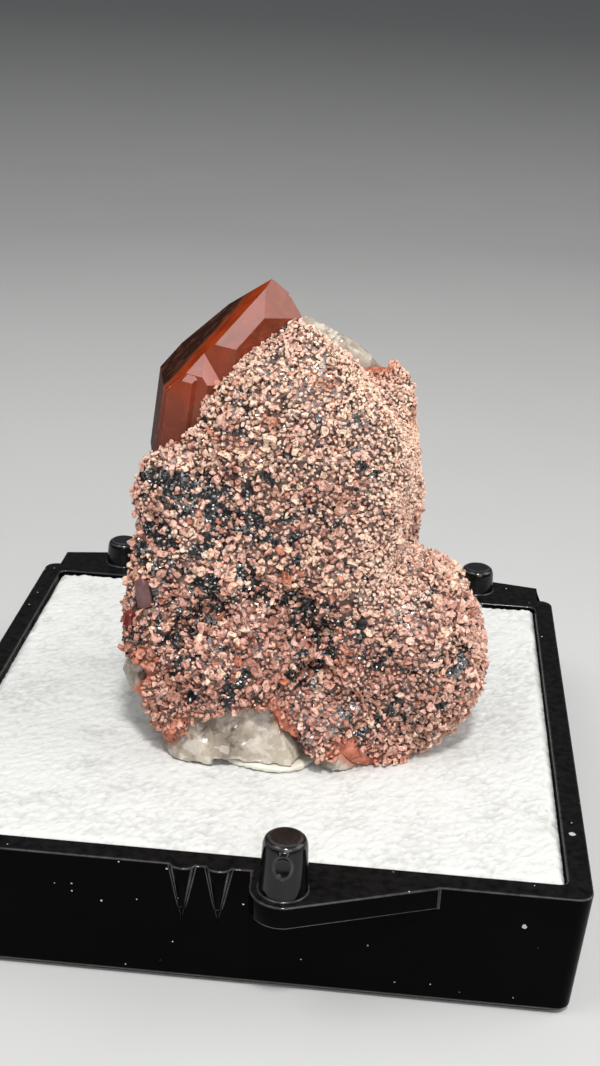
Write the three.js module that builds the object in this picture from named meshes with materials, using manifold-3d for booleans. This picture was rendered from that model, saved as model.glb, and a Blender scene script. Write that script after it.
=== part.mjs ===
// A thumbnail mineral specimen: red hematoid quartz crystals on a crusted quartz matrix, fixed upright
// on the foam pad of a small black snap-box base. Millimetres, +Z up, origin at the centre of the
// box base's underside. The front of the specimen faces -Y.
import * as THREE from "three";
import { mergeVertices } from "three/addons/utils/BufferGeometryUtils.js";
import Module from "manifold-3d";

const wasm = await Module();
wasm.setup();
const { degToRad } = THREE.MathUtils;

// Box base
const BOX_WIDTH = 32; // a 1 1/4 inch thumbnail box
const BOX_HEIGHT = 6.6;
const BOX_CORNER = 0.7;
const WALL_DRAFT = 0.38; // how far each wall leans in at the bottom
const BOTTOM_EDGE = 0.35; // the small chamfer round the underside
const RIM = 1.1; // rim width seen from above
const INNER_CORNER = 0.4;
const CORNER_STEPS = 5;
const FLOOR = 1.4;
const LEDGE_REACH = 2.6; // how far a ledge stands out from the wall
const LEDGE_THICK = 1.1;
const LEDGE_END = 1.5; // radius of a ledge's round end
const LEDGE_ROOT = 0.6; // how far a ledge runs into the wall
const LEDGE_TURN = degToRad(100); // how far a ledge's end runs round its post
const LEDGE_STEPS = 10;
const POST_RADIUS = 1.12;
// How far a post has drawn in at each depth below its top
const POST_DRAWN_IN = [
  [0.12, 0.35],
  [0.2, 0.12],
  [0.38, 0],
];
const POST_STEPS = 24;
const FINE_STEPS = 14; // round the dimple and the ribs
const FRONT_POST_HEIGHT = 2.66;
const FRONT_POST_X = 2.36;
const FRONT_LEDGE = { tipX: 9.2, tipReach: 0.05 };
const BACK_POST_HEIGHT = 1.5;
const BACK_POST_X = 11.3;
const BACK_LEDGE = { tipX: 15.2, tipReach: 1.9 };
const DIMPLE_RADIUS = 1.4; // at the cone's base, which stands outside the post
const DIMPLE_DEPTH = 0.45;
const DIMPLE_HEIGHT = 1.72; // above the rim
const RIB_XS = [-2.27, -0.62];
const RIB_RADIUS = 0.62;
const RIB_FOOT = 0.16; // radius at a rib's lower end
const RIB_REACH = 0.42;
const RIB_LENGTH = 2.3;

// Foam pad, flush with the rim
const FOAM_GAP = 0.1;
const SEAT = BOX_HEIGHT; // the specimen stands on the foam's top

// Everything below is measured from the foam's top.
const GAP = 0.3; // clearance between pieces that fit into each other
const PUTTY_THICK = 0.35;
const PUTTY_CENTRE = [0.5, -4.4];
const PUTTY_RADII = [3.3, 3.1];
const PUTTY_WAVES = [
  { share: 0.05, count: 3, turn: 0 },
  { share: 0.04, count: 5, turn: 1 },
];
const PUTTY_STEPS = 40;

// The rock's outline, as flat sides with a point on each and its outward normal
const ROCK_SIDES = {
  front: { point: [0, -7.25, 0], normal: [0, -1, 0.155] },
  frontRight: { point: [4.2, -6.7, 0.5], normal: [0.55, -0.8, -0.1] },
  back: { point: [0, 4.5, 0], normal: [0.05, 1, 0.09] },
  left: { point: [-6.85, -2, 5], normal: [-0.99, 0.06, 0.08] },
  underLeft: { point: [-6.7, -2, 3.6], normal: [-0.86, -0.1, -0.5] },
  crystalSlope: { point: [-5.3, -4.5, 14.8], normal: [-0.76, 0.02, 0.65] },
  top: { point: [0.9, -3.5, 22.3], normal: [0.64, 0.34, 0.69] },
  upperRight: { point: [3.6, -4, 19.3], normal: [0.72, 0.06, 0.69] },
  right: { point: [6.4, -3, 14.5], normal: [0.97, -0.16, -0.06] },
};
const SIDE_BLEND = 1.1; // how softly neighbouring sides run together

// Swellings joined to the rock and hollows cut into it, as ellipsoids
const SWELLINGS = [
  { centre: [7.4, -2.3, 5.1], radii: [3.3, 4.0, 4.6] }, // round lobe at the lower right
  { centre: [5.8, -2.8, 1.3], radii: [2.1, 3.1, 2.5] }, // its foot
  { centre: [4.3, 1.7, 13.2], radii: [2.45, 2.6, 5.9] }, // shoulder behind the upper face
  { centre: [-2.4, -3.6, 4.0], radii: [3.6, 3.9, 3.7] }, // lower left bulge
  { centre: [0.9, -3.4, 14.6], radii: [4.4, 2.2, 5.0] }, // crown of the upper face
  { centre: [-4.8, -4.1, 13.5], radii: [1.4, 1.0, 1.7] }, // collar below the red crystals
];
const HOLLOWS = [
  { centre: [2.1, -7.4, 6.8], radii: [2.1, 1.7, 0.8] }, // dark shelf under the upper face
  { centre: [3.1, -7.6, 4.7], radii: [0.9, 1.9, 2.0] }, // cleft beside the lobe
  { centre: [-2.2, -7.7, 7.3], radii: [2.0, 1.6, 0.55] }, // slot above the left bulge
  { centre: [8.6, -3.4, 12.4], radii: [2.2, 5.0, 2.0] }, // notch above the lobe
];
const LUMP_BLEND = 1.1;
const HOLLOW_BLEND = 0.55;
// Broad waves and round knobs over the crust
const CRUST_WAVES = [
  { depth: 0.3, width: 3.6, salt: 1 },
  { depth: 0.16, width: 1.7, salt: 2 },
];
const CRUST_KNOBS = { depth: 0.42, width: 1.25, salt: 3 };
const CRUST_SINK = 0.2; // drawn back by about the knobs' mean height

// Bare quartz behind and under the crust: the ground it fills, and its own broken faces
const QUARTZ_GROUND = [
  { centre: [-1.2, -4.5, 0.1], radii: [3.8, 4.3, 3.6] }, // the broken foot, seen at the front
  { centre: [4.0, -5.2, -0.2], radii: [1.0, 2.6, 1.9] }, // small patch beside the foot
  { centre: [-6.2, 0.4, 1.9], radii: [2.9, 4.0, 2.9] }, // left flank
  { centre: [-6.6, -2.6, 4.1], radii: [1.7, 4.9, 2.2] }, // its front end, at the left edge
  { centre: [-0.9, 5.0, 8.6], radii: [8.4, 5.4, 16.5] }, // the back
  { centre: [2.1, 1.6, 18.6], radii: [3.0, 2.3, 4.2] }, // the ridge at the top right
];
const GROUND_BLEND = 0.8;
const BORDER_WAVES = [{ depth: 0.3, width: 1.8, salt: 11 }];
const QUARTZ_SIDES = {
  front: { point: [0, -6.85, 0], normal: [0, -1, 0.19] },
  frontLeft: { point: [-5.3, -6.5, 0], normal: [-0.6, -0.75, -0.1] },
  frontRight: { point: [4.2, -6.4, 0.5], normal: [0.5, -0.85, -0.1] },
  left: { point: [-7.35, -1, 3], normal: [-0.98, -0.1, 0.1] },
  underLeft: { point: [-7.2, -1, 2.8], normal: [-0.86, -0.1, -0.5] },
  backLeft: { point: [-6.7, 2.6, 8], normal: [-0.75, 0.64, 0.04] },
  backUpperLeft: { point: [-5.7, 4.2, 14], normal: [-0.62, 0.68, 0.4] },
  back: { point: [0, 4.2, 6], normal: [0.1, 0.98, 0.12] },
  backUpper: { point: [1, 3.5, 14], normal: [0.12, 0.95, 0.24] },
  backRight: { point: [4.6, 3.2, 8], normal: [0.62, 0.78, -0.06] },
  ridgeFront: { point: [1.9, -0.4, 20.9], normal: [0.1, -0.93, 0.34] },
  ridge: { point: [1.95, 1.5, 20.75], normal: [0.6, 0.05, 0.8] },
  ridgeEnd: { point: [0.3, 1.5, 21.1], normal: [-0.5, 0.1, 0.86] },
};
const QUARTZ_BLEND = 0.35;
const QUARTZ_WAVES = [
  { depth: 0.22, width: 2.6, salt: 7 },
  { depth: 0.1, width: 1.1, salt: 8 },
];

// The lumpy bodies are balls whose points are carried outward to a surface: where the rays start, how
// finely the balls are divided, and how far and in what steps the surface is looked for
const ROCK_CENTRE = [0.7, -1.4, 8.4];
const GROUND_CENTRE = [-1.4, 0.6, 4.6];
const CRUST_DETAIL = 14;
const QUARTZ_DETAIL = 8;
const GROUND_DETAIL = 8;
const FARTHEST = 24;
const STRIDE = 0.4;
const HALVINGS = 12;

// Red crystals. Quartz keeps its angles: six side faces m and, at a fixed slope, six end faces over
// them. All the red crystals stand parallel. Faces are numbered round the long axis from face 0 at
// the front left.
const END_SLOPE = degToRad(51.79); // between the long axis and an end face's normal
const CRYSTAL_AXIS = new THREE.Vector3(0.103, 0.061, 0.993);
const CRYSTAL_SPIN = degToRad(-108.2);
const CRYSTAL_CENTRE = [-3, -0.5, 17];
// Distances of the side faces from the long axis, and of the end faces and the root from the centre
const CRYSTALS = [
  { sides: [2.54, 2.51, 3.1, 3.0, 3.95, 3.07], ends: [3.89, 4.81, 5.35, 4.05, 4.14, 2.68], root: 3.6 },
  { sides: [3.3, 2.13, 2.8, 0, 0, 3.02], ends: [3.55, 2.43, 4.6, 2, 2, 2.68], root: 3.2 },
  { sides: [3.55, 1.66, 0, 0, 0, 2.97], ends: [3.53, 2.14, 1.5, 1.5, 1.5, 2.6], root: 3.0 },
];
// Two small crystals set in the left edge, leaning by so many degrees about X and Y
const SIDE_CRYSTALS = {
  side_crystal_upper: {
    centre: [-5.95, -5.7, 8.4],
    length: 1.5,
    thick: 0.78,
    lean: [8, -6],
    colour: 0x5d2a2a,
  },
  side_crystal_lower: {
    centre: [-6.6, -5.85, 7.0],
    length: 0.8,
    thick: 0.58,
    lean: [-14, 10],
    colour: 0x7a2018,
  },
};
// Their faces as shares of the thickness and of the distance to the tip
const SIDE_CRYSTAL_SIDES = [0.5, 0.46, 0.5, 0.47, 0.52, 0.45];
const SIDE_CRYSTAL_ENDS = [1, 1.12, 0.96, 1.1, 1.02, 1.15];
const SIDE_CRYSTAL_TIP = 0.2; // how far the end faces stand out, as a share of the thickness

const BLOCK = 40; // edge of a block that holds the whole specimen

// Repeatable random number from 0 to 1 for a lattice cell
function cellRandom(i, j, k, salt) {
  const s = Math.sin(i * 127.1 + j * 311.7 + k * 74.7 + salt * 53.3) * 43758.5453;
  return s - Math.floor(s);
}

// Smooth noise from -1 to 1
function noise(p, scale, salt) {
  const cell = p.map((v) => Math.floor(v / scale));
  const t = p.map((v, axis) => v / scale - cell[axis]).map((v) => v * v * (3 - 2 * v));
  let sum = 0;
  for (let corner = 0; corner < 8; corner++) {
    const step = [corner & 1, (corner >> 1) & 1, corner >> 2];
    const weight = step.reduce((w, s, axis) => w * (s ? t[axis] : 1 - t[axis]), 1);
    sum += weight * cellRandom(cell[0] + step[0], cell[1] + step[1], cell[2] + step[2], salt);
  }
  return 2 * sum - 1;
}

function waves(p, layers) {
  return layers.reduce((sum, { depth, width, salt }) => sum + depth * noise(p, width, salt), 0);
}

// Round knobs, one to a lattice cell: 1 at a knob's middle, 0 between knobs
function knobs(p, { width, salt }) {
  const cell = p.map((v) => Math.floor(v / width));
  let nearest = Infinity;
  for (let i = cell[0] - 1; i <= cell[0] + 1; i++)
    for (let j = cell[1] - 1; j <= cell[1] + 1; j++)
      for (let k = cell[2] - 1; k <= cell[2] + 1; k++) {
        const x = i + cellRandom(i, j, k, salt) - p[0] / width;
        const y = j + cellRandom(i, j, k, salt + 1) - p[1] / width;
        const z = k + cellRandom(i, j, k, salt + 2) - p[2] / width;
        nearest = Math.min(nearest, x * x + y * y + z * z);
      }
  return Math.max(0, 1 - nearest);
}

function softMin(a, b, width) {
  const h = Math.max(width - Math.abs(a - b), 0) / width;
  return Math.min(a, b) - (h * h * width) / 4;
}

function softMax(a, b, width) {
  return -softMin(-a, -b, width);
}

// Distance outside a flat side, negative within
function beyond(p, { point, normal }) {
  const reach = Math.hypot(...normal);
  return p.reduce((sum, v, axis) => sum + ((v - point[axis]) * normal[axis]) / reach, 0);
}

// Near enough the distance outside an ellipsoid, negative within
function outside(p, { centre, radii }) {
  const q = p.map((v, axis) => (v - centre[axis]) / radii[axis]);
  const slope = q.map((v, axis) => v / radii[axis]);
  const near = Math.hypot(...q);
  return (near * (near - 1)) / Math.max(Math.hypot(...slope), 1e-6);
}

function withinSides(p, sides, blend) {
  return Object.values(sides)
    .map((side) => beyond(p, side))
    .reduce((a, b) => softMax(a, b, blend));
}

// The crusted rock: flat sides run together, swellings, hollows, then lumps and knobs
function crustField(p) {
  let d = withinSides(p, ROCK_SIDES, SIDE_BLEND);
  for (const swelling of SWELLINGS) d = softMin(d, outside(p, swelling), LUMP_BLEND);
  for (const hollow of HOLLOWS) d = softMax(d, -outside(p, hollow), HOLLOW_BLEND);
  return d - waves(p, CRUST_WAVES) - CRUST_KNOBS.depth * knobs(p, CRUST_KNOBS) + CRUST_SINK;
}

// The bare quartz: sharper broken faces with shallow steps
function quartzField(p) {
  return withinSides(p, QUARTZ_SIDES, QUARTZ_BLEND) - waves(p, QUARTZ_WAVES);
}

// The ground that the bare quartz fills, with a wavy border
function groundField(p) {
  const d = QUARTZ_GROUND.map((lump) => outside(p, lump)).reduce((a, b) => softMin(a, b, GROUND_BLEND));
  return d - waves(p, BORDER_WAVES);
}

// Closed geometry to a solid for cutting and joining
function solid(geometry) {
  const bare = geometry.index ? geometry.toNonIndexed() : geometry.clone();
  bare.deleteAttribute("normal");
  bare.deleteAttribute("uv");
  const merged = mergeVertices(bare, 1e-4);
  const vertProperties = merged.getAttribute("position").array;
  const triVerts = new Uint32Array(merged.index.array);
  return new wasm.Manifold(new wasm.Mesh({ numProp: 3, vertProperties, triVerts }));
}

function geometryOf(made) {
  const mesh = made.getMesh();
  const geometry = new THREE.BufferGeometry();
  geometry.setAttribute("position", new THREE.BufferAttribute(new Float32Array(mesh.vertProperties), 3));
  geometry.setIndex(new THREE.BufferAttribute(new Uint32Array(mesh.triVerts), 1));
  return geometry;
}

// The largest of a solid's separate bodies, without the chips that cutting leaves
function mainBody(made) {
  const geometry = geometryOf(made);
  const index = geometry.index.array;
  const leader = Array.from({ length: geometry.getAttribute("position").count }, (_, i) => i);
  const find = (i) => {
    while (leader[i] !== i) {
      leader[i] = leader[leader[i]];
      i = leader[i];
    }
    return i;
  };
  for (let i = 0; i < index.length; i++) leader[find(index[i])] = find(index[i - (i % 3)]);
  const counts = new Map();
  for (const i of index) counts.set(find(i), (counts.get(find(i)) ?? 0) + 1);
  const largest = [...counts].reduce((a, b) => (b[1] > a[1] ? b : a))[0];
  geometry.setIndex(Array.from(index).filter((i) => find(i) === largest));
  return geometry;
}

// A ball whose points are carried out along their rays to where the field turns positive
function grownFrom(centre, field, detail) {
  const ball = new THREE.IcosahedronGeometry(1, detail);
  ball.deleteAttribute("normal");
  ball.deleteAttribute("uv");
  const geometry = mergeVertices(ball, 1e-4);
  const position = geometry.getAttribute("position");
  for (let i = 0; i < position.count; i++) {
    const ray = [position.getX(i), position.getY(i), position.getZ(i)];
    const at = (r) => ray.map((v, axis) => centre[axis] + v * r);
    let inner = FARTHEST;
    while (inner > STRIDE && field(at(inner)) > 0) inner -= STRIDE;
    let outer = inner + STRIDE;
    for (let step = 0; step < HALVINGS; step++) {
      const middle = (inner + outer) / 2;
      if (field(at(middle)) > 0) outer = middle;
      else inner = middle;
    }
    position.setXYZ(i, ...at(inner));
  }
  return solid(geometry);
}

// Closed solid through rings of equal count, lowest first, each ring anticlockwise from above
function ringSolid(rings) {
  const count = rings[0].length;
  const faces = [];
  for (let level = 0; level + 1 < rings.length; level++)
    for (let i = 0; i < count; i++) {
      const a = level * count + i;
      const b = level * count + ((i + 1) % count);
      faces.push([a, b, b + count], [a, b + count, a + count]);
    }
  const top = (rings.length - 1) * count;
  for (let i = 1; i + 1 < count; i++) faces.push([0, i + 1, i], [top, top + i, top + i + 1]);
  const geometry = new THREE.BufferGeometry();
  geometry.setAttribute("position", new THREE.Float32BufferAttribute(rings.flat(2), 3));
  geometry.setIndex(faces.flat());
  return solid(geometry);
}

// Square with round corners, as a ring at one height
function squareRing(width, corner, z) {
  const ring = [];
  const reach = width / 2 - corner;
  for (let quarter = 0; quarter < 4; quarter++)
    for (let i = 0; i <= CORNER_STEPS; i++) {
      const middle = (quarter + 0.5) * (Math.PI / 2);
      const angle = (quarter + i / CORNER_STEPS) * (Math.PI / 2);
      const x = Math.sign(Math.cos(middle)) * reach + corner * Math.cos(angle);
      const y = Math.sign(Math.sin(middle)) * reach + corner * Math.sin(angle);
      ring.push([x, y, z]);
    }
  return ring;
}

// Flat ledge from the wall, round a post and along to its tip. side is -1 at the front, 1 at the back.
function ledge(postX, { tipX, tipReach }, side) {
  const wall = (side * BOX_WIDTH) / 2;
  const centreY = wall + side * (LEDGE_REACH - LEDGE_END);
  const along = Math.sign(tipX - postX);
  const shape = new THREE.Shape();
  shape.moveTo(postX - along * LEDGE_END, wall - side * LEDGE_ROOT);
  for (let i = 0; i <= LEDGE_STEPS; i++) {
    const angle = (i / LEDGE_STEPS) * LEDGE_TURN;
    const x = postX - along * LEDGE_END * Math.cos(angle);
    shape.lineTo(x, centreY + side * LEDGE_END * Math.sin(angle));
  }
  shape.lineTo(tipX, wall + side * tipReach);
  shape.lineTo(tipX, wall - side * LEDGE_ROOT);
  const geometry = new THREE.ExtrudeGeometry(shape, { depth: LEDGE_THICK, bevelEnabled: false });
  geometry.translate(0, 0, BOX_HEIGHT - LEDGE_THICK);
  return solid(geometry);
}

// Snap post with a rounded top
function post(x, side, height) {
  const foot = BOX_HEIGHT - LEDGE_THICK / 2;
  const top = BOX_HEIGHT + height;
  const rounding = POST_DRAWN_IN.map(([inward, depth]) => [POST_RADIUS - inward, top - depth]);
  const profile = [[0, foot], [POST_RADIUS, foot], ...rounding, [0, top]];
  const y = side * (BOX_WIDTH / 2 + LEDGE_REACH - LEDGE_END);
  const points = profile.map(([r, z]) => new THREE.Vector2(r, z));
  return solid(new THREE.LatheGeometry(points, POST_STEPS).rotateX(Math.PI / 2).translate(x, y, 0));
}

// Conical dimple in the outer side of the front post
function dimple() {
  const y = -BOX_WIDTH / 2 - LEDGE_REACH + LEDGE_END - POST_RADIUS;
  const cone = new THREE.ConeGeometry(DIMPLE_RADIUS, 2 * DIMPLE_DEPTH, FINE_STEPS);
  return solid(cone.translate(FRONT_POST_X, y, BOX_HEIGHT + DIMPLE_HEIGHT));
}

// Tapered rib down the front wall
function rib(x) {
  const geometry = new THREE.CylinderGeometry(RIB_RADIUS, RIB_FOOT, RIB_LENGTH, FINE_STEPS);
  geometry.rotateX(Math.PI / 2).scale(1, RIB_REACH / RIB_RADIUS, 1);
  geometry.translate(x, -BOX_WIDTH / 2 + RIB_FOOT / 2, BOX_HEIGHT - RIB_LENGTH / 2);
  return solid(geometry);
}

function boxBase() {
  let made = ringSolid([
    squareRing(BOX_WIDTH - 2 * (WALL_DRAFT + BOTTOM_EDGE), BOX_CORNER, 0),
    squareRing(BOX_WIDTH - 2 * WALL_DRAFT, BOX_CORNER, BOTTOM_EDGE),
    squareRing(BOX_WIDTH, BOX_CORNER, BOX_HEIGHT),
  ]);
  made = made.add(ledge(FRONT_POST_X, FRONT_LEDGE, -1));
  made = made.add(post(FRONT_POST_X, -1, FRONT_POST_HEIGHT)).subtract(dimple());
  for (const hand of [-1, 1]) {
    const end = { ...BACK_LEDGE, tipX: hand * BACK_LEDGE.tipX };
    made = made.add(ledge(hand * BACK_POST_X, end, 1));
    made = made.add(post(hand * BACK_POST_X, 1, BACK_POST_HEIGHT));
  }
  for (const x of RIB_XS) made = made.add(rib(x));
  const inside = BOX_WIDTH - 2 * RIM;
  const cavity = [FLOOR, BOX_HEIGHT + 1].map((z) => squareRing(inside, INNER_CORNER, z));
  return made.subtract(ringSolid(cavity));
}

function foamPad() {
  const width = BOX_WIDTH - 2 * (RIM + FOAM_GAP);
  return ringSolid([FLOOR, BOX_HEIGHT].map((z) => squareRing(width, INNER_CORNER, z)));
}

// Wavy dab of putty, grown sideways for the pocket that it sits in
function putty(low, high, grow) {
  const ring = (z) =>
    Array.from({ length: PUTTY_STEPS }, (_, i) => {
      const angle = (i / PUTTY_STEPS) * 2 * Math.PI;
      const wave = PUTTY_WAVES.reduce((sum, w) => sum + w.share * Math.sin(w.count * angle + w.turn), 1);
      const x = PUTTY_CENTRE[0] + (PUTTY_RADII[0] * wave + grow) * Math.cos(angle);
      return [x, PUTTY_CENTRE[1] + (PUTTY_RADII[1] * wave + grow) * Math.sin(angle), z];
    });
  return ringSolid([ring(low), ring(high)]);
}

// What is left of a big block when everything beyond each face is cut away
function within(faces) {
  const up = new THREE.Vector3(0, 0, 1);
  let made = solid(new THREE.BoxGeometry(BLOCK, BLOCK, BLOCK));
  for (const { normal, distance } of faces) {
    const cutter = new THREE.BoxGeometry(3 * BLOCK, 3 * BLOCK, 3 * BLOCK);
    cutter.translate(0, 0, 1.5 * BLOCK + distance);
    cutter.applyQuaternion(new THREE.Quaternion().setFromUnitVectors(up, normal));
    made = made.subtract(solid(cutter));
  }
  return made;
}

// One quartz crystal, upright: its side faces, end faces and root, all moved out by grow
function quartz({ sides, ends, root }, grow) {
  const faces = [{ normal: new THREE.Vector3(0, 0, -1), distance: root + grow }];
  for (let k = 0; k < 6; k++) {
    const side = new THREE.Vector3(Math.cos((k * Math.PI) / 3), Math.sin((k * Math.PI) / 3), 0);
    const end = side.clone().multiplyScalar(Math.sin(END_SLOPE));
    end.z = Math.cos(END_SLOPE);
    faces.push({ normal: side, distance: sides[k] + grow }, { normal: end, distance: ends[k] + grow });
  }
  return within(faces);
}

// The red crystals, grown together
function redCrystals(grow) {
  const axis = CRYSTAL_AXIS.clone().normalize();
  const lean = new THREE.Quaternion().setFromUnitVectors(new THREE.Vector3(0, 0, 1), axis);
  const spin = new THREE.Quaternion().setFromAxisAngle(new THREE.Vector3(0, 0, 1), CRYSTAL_SPIN);
  const upright = CRYSTALS.map((crystal) => quartz(crystal, grow)).reduce((a, b) => a.add(b));
  const geometry = geometryOf(upright).applyQuaternion(lean.multiply(spin));
  return solid(geometry.translate(...CRYSTAL_CENTRE));
}

function sideCrystal({ centre, length, thick, lean }, grow) {
  const sides = SIDE_CRYSTAL_SIDES.map((share) => share * thick);
  const tip = (length / 2) * Math.cos(END_SLOPE) + SIDE_CRYSTAL_TIP * thick * Math.sin(END_SLOPE);
  const ends = SIDE_CRYSTAL_ENDS.map((share) => share * tip);
  const geometry = geometryOf(quartz({ sides, ends, root: length / 2 }, grow));
  geometry.rotateX(degToRad(lean[0])).rotateY(degToRad(lean[1]));
  return solid(geometry.translate(...centre));
}

function below(z) {
  return solid(new THREE.BoxGeometry(BLOCK, BLOCK, BLOCK).translate(0, 0, z - BLOCK / 2));
}

const crustHole = grownFrom(GROUND_CENTRE, (p) => groundField(p) - GAP, GROUND_DETAIL);
const quartzGround = grownFrom(GROUND_CENTRE, groundField, GROUND_DETAIL);
const pocket = putty(-1, PUTTY_THICK, GAP);
const socket = redCrystals(GAP);

let crust = grownFrom(ROCK_CENTRE, crustField, CRUST_DETAIL).subtract(below(0));
crust = crust.subtract(crustHole).subtract(socket).subtract(pocket);
for (const small of Object.values(SIDE_CRYSTALS)) crust = crust.subtract(sideCrystal(small, GAP));

let bareQuartz = grownFrom(ROCK_CENTRE, quartzField, QUARTZ_DETAIL).subtract(below(0));
bareQuartz = bareQuartz.intersect(quartzGround).subtract(socket).subtract(pocket);

function piece(name, made, color, roughness) {
  const material = new THREE.MeshStandardMaterial({ color, roughness, metalness: 0 });
  const mesh = new THREE.Mesh(mainBody(made), material);
  mesh.name = name;
  return mesh;
}

const box = new THREE.Group();
box.add(piece("box_base", boxBase(), 0x0a0a0b, 0.22));
box.add(piece("foam_pad", foamPad(), 0xeeeeea, 0.9));

const specimen = new THREE.Group();
specimen.position.z = SEAT;
specimen.add(piece("mounting_putty", putty(0, PUTTY_THICK, 0), 0xe9e2c8, 0.6));
specimen.add(piece("crusted_matrix", crust, 0xb98472, 0.8));
specimen.add(piece("milky_quartz", bareQuartz, 0xc9c6c0, 0.3));
specimen.add(piece("hematoid_quartz_crystals", redCrystals(0), 0x8a2410, 0.12));
for (const [name, small] of Object.entries(SIDE_CRYSTALS))
  specimen.add(piece(name, sideCrystal(small, 0), small.colour, 0.25));

const thumbnailSpecimen = new THREE.Group();
thumbnailSpecimen.add(box, specimen);

export default thumbnailSpecimen;
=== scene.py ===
import math

import bmesh
import bpy
import numpy as np
from bpy.props import FloatProperty, FloatVectorProperty, IntProperty, PointerProperty
from mathutils import Matrix, Vector
from mathutils.bvhtree import BVHTree


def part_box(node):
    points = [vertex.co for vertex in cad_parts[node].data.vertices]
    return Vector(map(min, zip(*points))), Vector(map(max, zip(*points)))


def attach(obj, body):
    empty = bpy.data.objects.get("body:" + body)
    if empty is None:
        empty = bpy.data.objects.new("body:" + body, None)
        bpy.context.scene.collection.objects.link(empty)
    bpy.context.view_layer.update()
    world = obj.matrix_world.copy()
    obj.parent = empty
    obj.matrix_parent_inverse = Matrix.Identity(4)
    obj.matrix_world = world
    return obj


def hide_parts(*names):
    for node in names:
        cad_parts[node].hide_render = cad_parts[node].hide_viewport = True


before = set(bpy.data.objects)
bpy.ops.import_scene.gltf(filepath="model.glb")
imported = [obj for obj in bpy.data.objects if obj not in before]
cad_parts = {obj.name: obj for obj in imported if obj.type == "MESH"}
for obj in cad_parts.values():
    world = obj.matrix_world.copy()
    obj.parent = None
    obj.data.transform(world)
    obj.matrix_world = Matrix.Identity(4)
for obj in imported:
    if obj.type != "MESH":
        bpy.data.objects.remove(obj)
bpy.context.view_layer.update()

bl_info = {
    "name": "Quartz thumbnail specimen",
    "version": (1, 0, 0),
    "blender": (4, 5, 0),
    "location": "View3D > Sidebar > Specimen",
    "description": "Dresses a red quartz specimen on its small box base: crust grains, crystals, foam",
    "category": "Object",
}

MM = 0.001
FOAM_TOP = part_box("foam_pad")[1].z / MM  # this and the lengths below are in millimetres
FOOT = FOAM_TOP - 0.02  # the lowest that grains, plates and quartz reach
WALL = 14.95  # from the middle of the box to just inside its wall
LINT_GAP = 1.6  # least distance between two bits of lint
CRUST_VOXEL, QUARTZ_VOXEL, PUTTY_VOXEL = 0.21, 0.16, 0.12  # face widths of the remeshed forms
NEAR_GAP = 0.03  # left between two surfaces that are drawn together
TOUCH = 0.33  # a wall this near to a neighbour is a joint face inside the rock
MOST_FINE_GRAINS = 8000
MOST_PLATES = 17000
RED_NODES = ["hematoid_quartz_crystals", "side_crystal_upper", "side_crystal_lower"]
RIGHT_END = (0.565, -0.549, 0.616)  # direction of the facets at the crystals' right ends

# Soft square lights: name, direction, distance and width (m), power (W), colour
LIGHTS = [
    ("Key right", (0.80, 0.07, 0.60), 0.30, 0.20, 0.35, (1, 0.985, 0.97)),
    ("Top left", (-0.44, -0.31, 0.85), 0.30, 0.12, 0.21, (1, 1, 1)),
    ("Front top", (0.30, -0.82, 0.48), 0.40, 0.24, 0.52, (1, 0.99, 0.98)),
    ("Spot above", (0.08, -0.52, 0.85), 0.45, 0.05, 1.65, (1, 0.99, 0.97)),
]
LIT_POINT = (0, 0, 0.018)  # what the lights look at (m)
FLOOR_REACH = 1.2  # from the middle of the floor to its edge (m)

# The camera, fitted to the four edges of the box's rim: place (m), axes, lens and sensor (mm)
CAMERA_PLACE = (0.0062636, -0.0745077, 0.0466212)
CAMERA_RIGHT = (0.99507, 0.08749, 0.04675)
CAMERA_UP = (-0.07605, 0.37019, 0.92584)
CAMERA_FORWARD = (-0.06369, 0.92483, -0.37502)
CAMERA_LENS, CAMERA_SENSOR = 52.87, 36.0

# Where the crust is thin and its black ground shows: place (mm), radius and strength
DARK_PATCHES = [
    ((0.3, -4.0, 27.4), 1.2, 0.45),
    ((-1.2, -5.0, 24.9), 1.0, 0.5),
    ((-4.3, -5.3, 20.0), 1.5, 0.65),
    ((-2.1, -5.4, 19.3), 1.6, 0.6),
    ((0.4, -5.7, 18.5), 1.6, 0.65),
    ((-5.3, -5.6, 17.6), 1.3, 0.75),
    ((-3.5, -5.8, 16.4), 1.4, 0.6),
    ((-3.9, -6.6, 13.2), 0.9, 0.95),
    ((-2.5, -6.2, 14.3), 1.0, 0.95),
    ((1.7, -5.9, 14.9), 0.9, 0.95),
    ((2.9, -5.8, 13.4), 0.9, 0.95),
    ((2.3, -6.2, 11.2), 0.8, 0.95),
    ((9.3, -5.5, 12.4), 1.0, 0.75),
    ((4.2, -6.7, 10.0), 0.8, 0.65),
    ((-1.1, -7.3, 11.1), 0.9, 0.5),
    ((-3.8, -7.2, 10.8), 0.8, 0.6),
    ((4.0, -5.1, 22.7), 1.1, 0.35),
]
# Where the crust is finest and palest, worn nearly smooth
PALE_PATCHES = [
    ((5.7, -5.1, 16.7), 1.7, 1.0),
    ((5.4, -4.0, 24.0), 1.9, 0.8),
    ((6.6, -2.4, 21.0), 2.2, 0.8),
    ((5.0, -3.4, 18.6), 1.6, 0.7),
    ((4.2, -2.6, 26.0), 2.2, 0.6),
]
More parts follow.
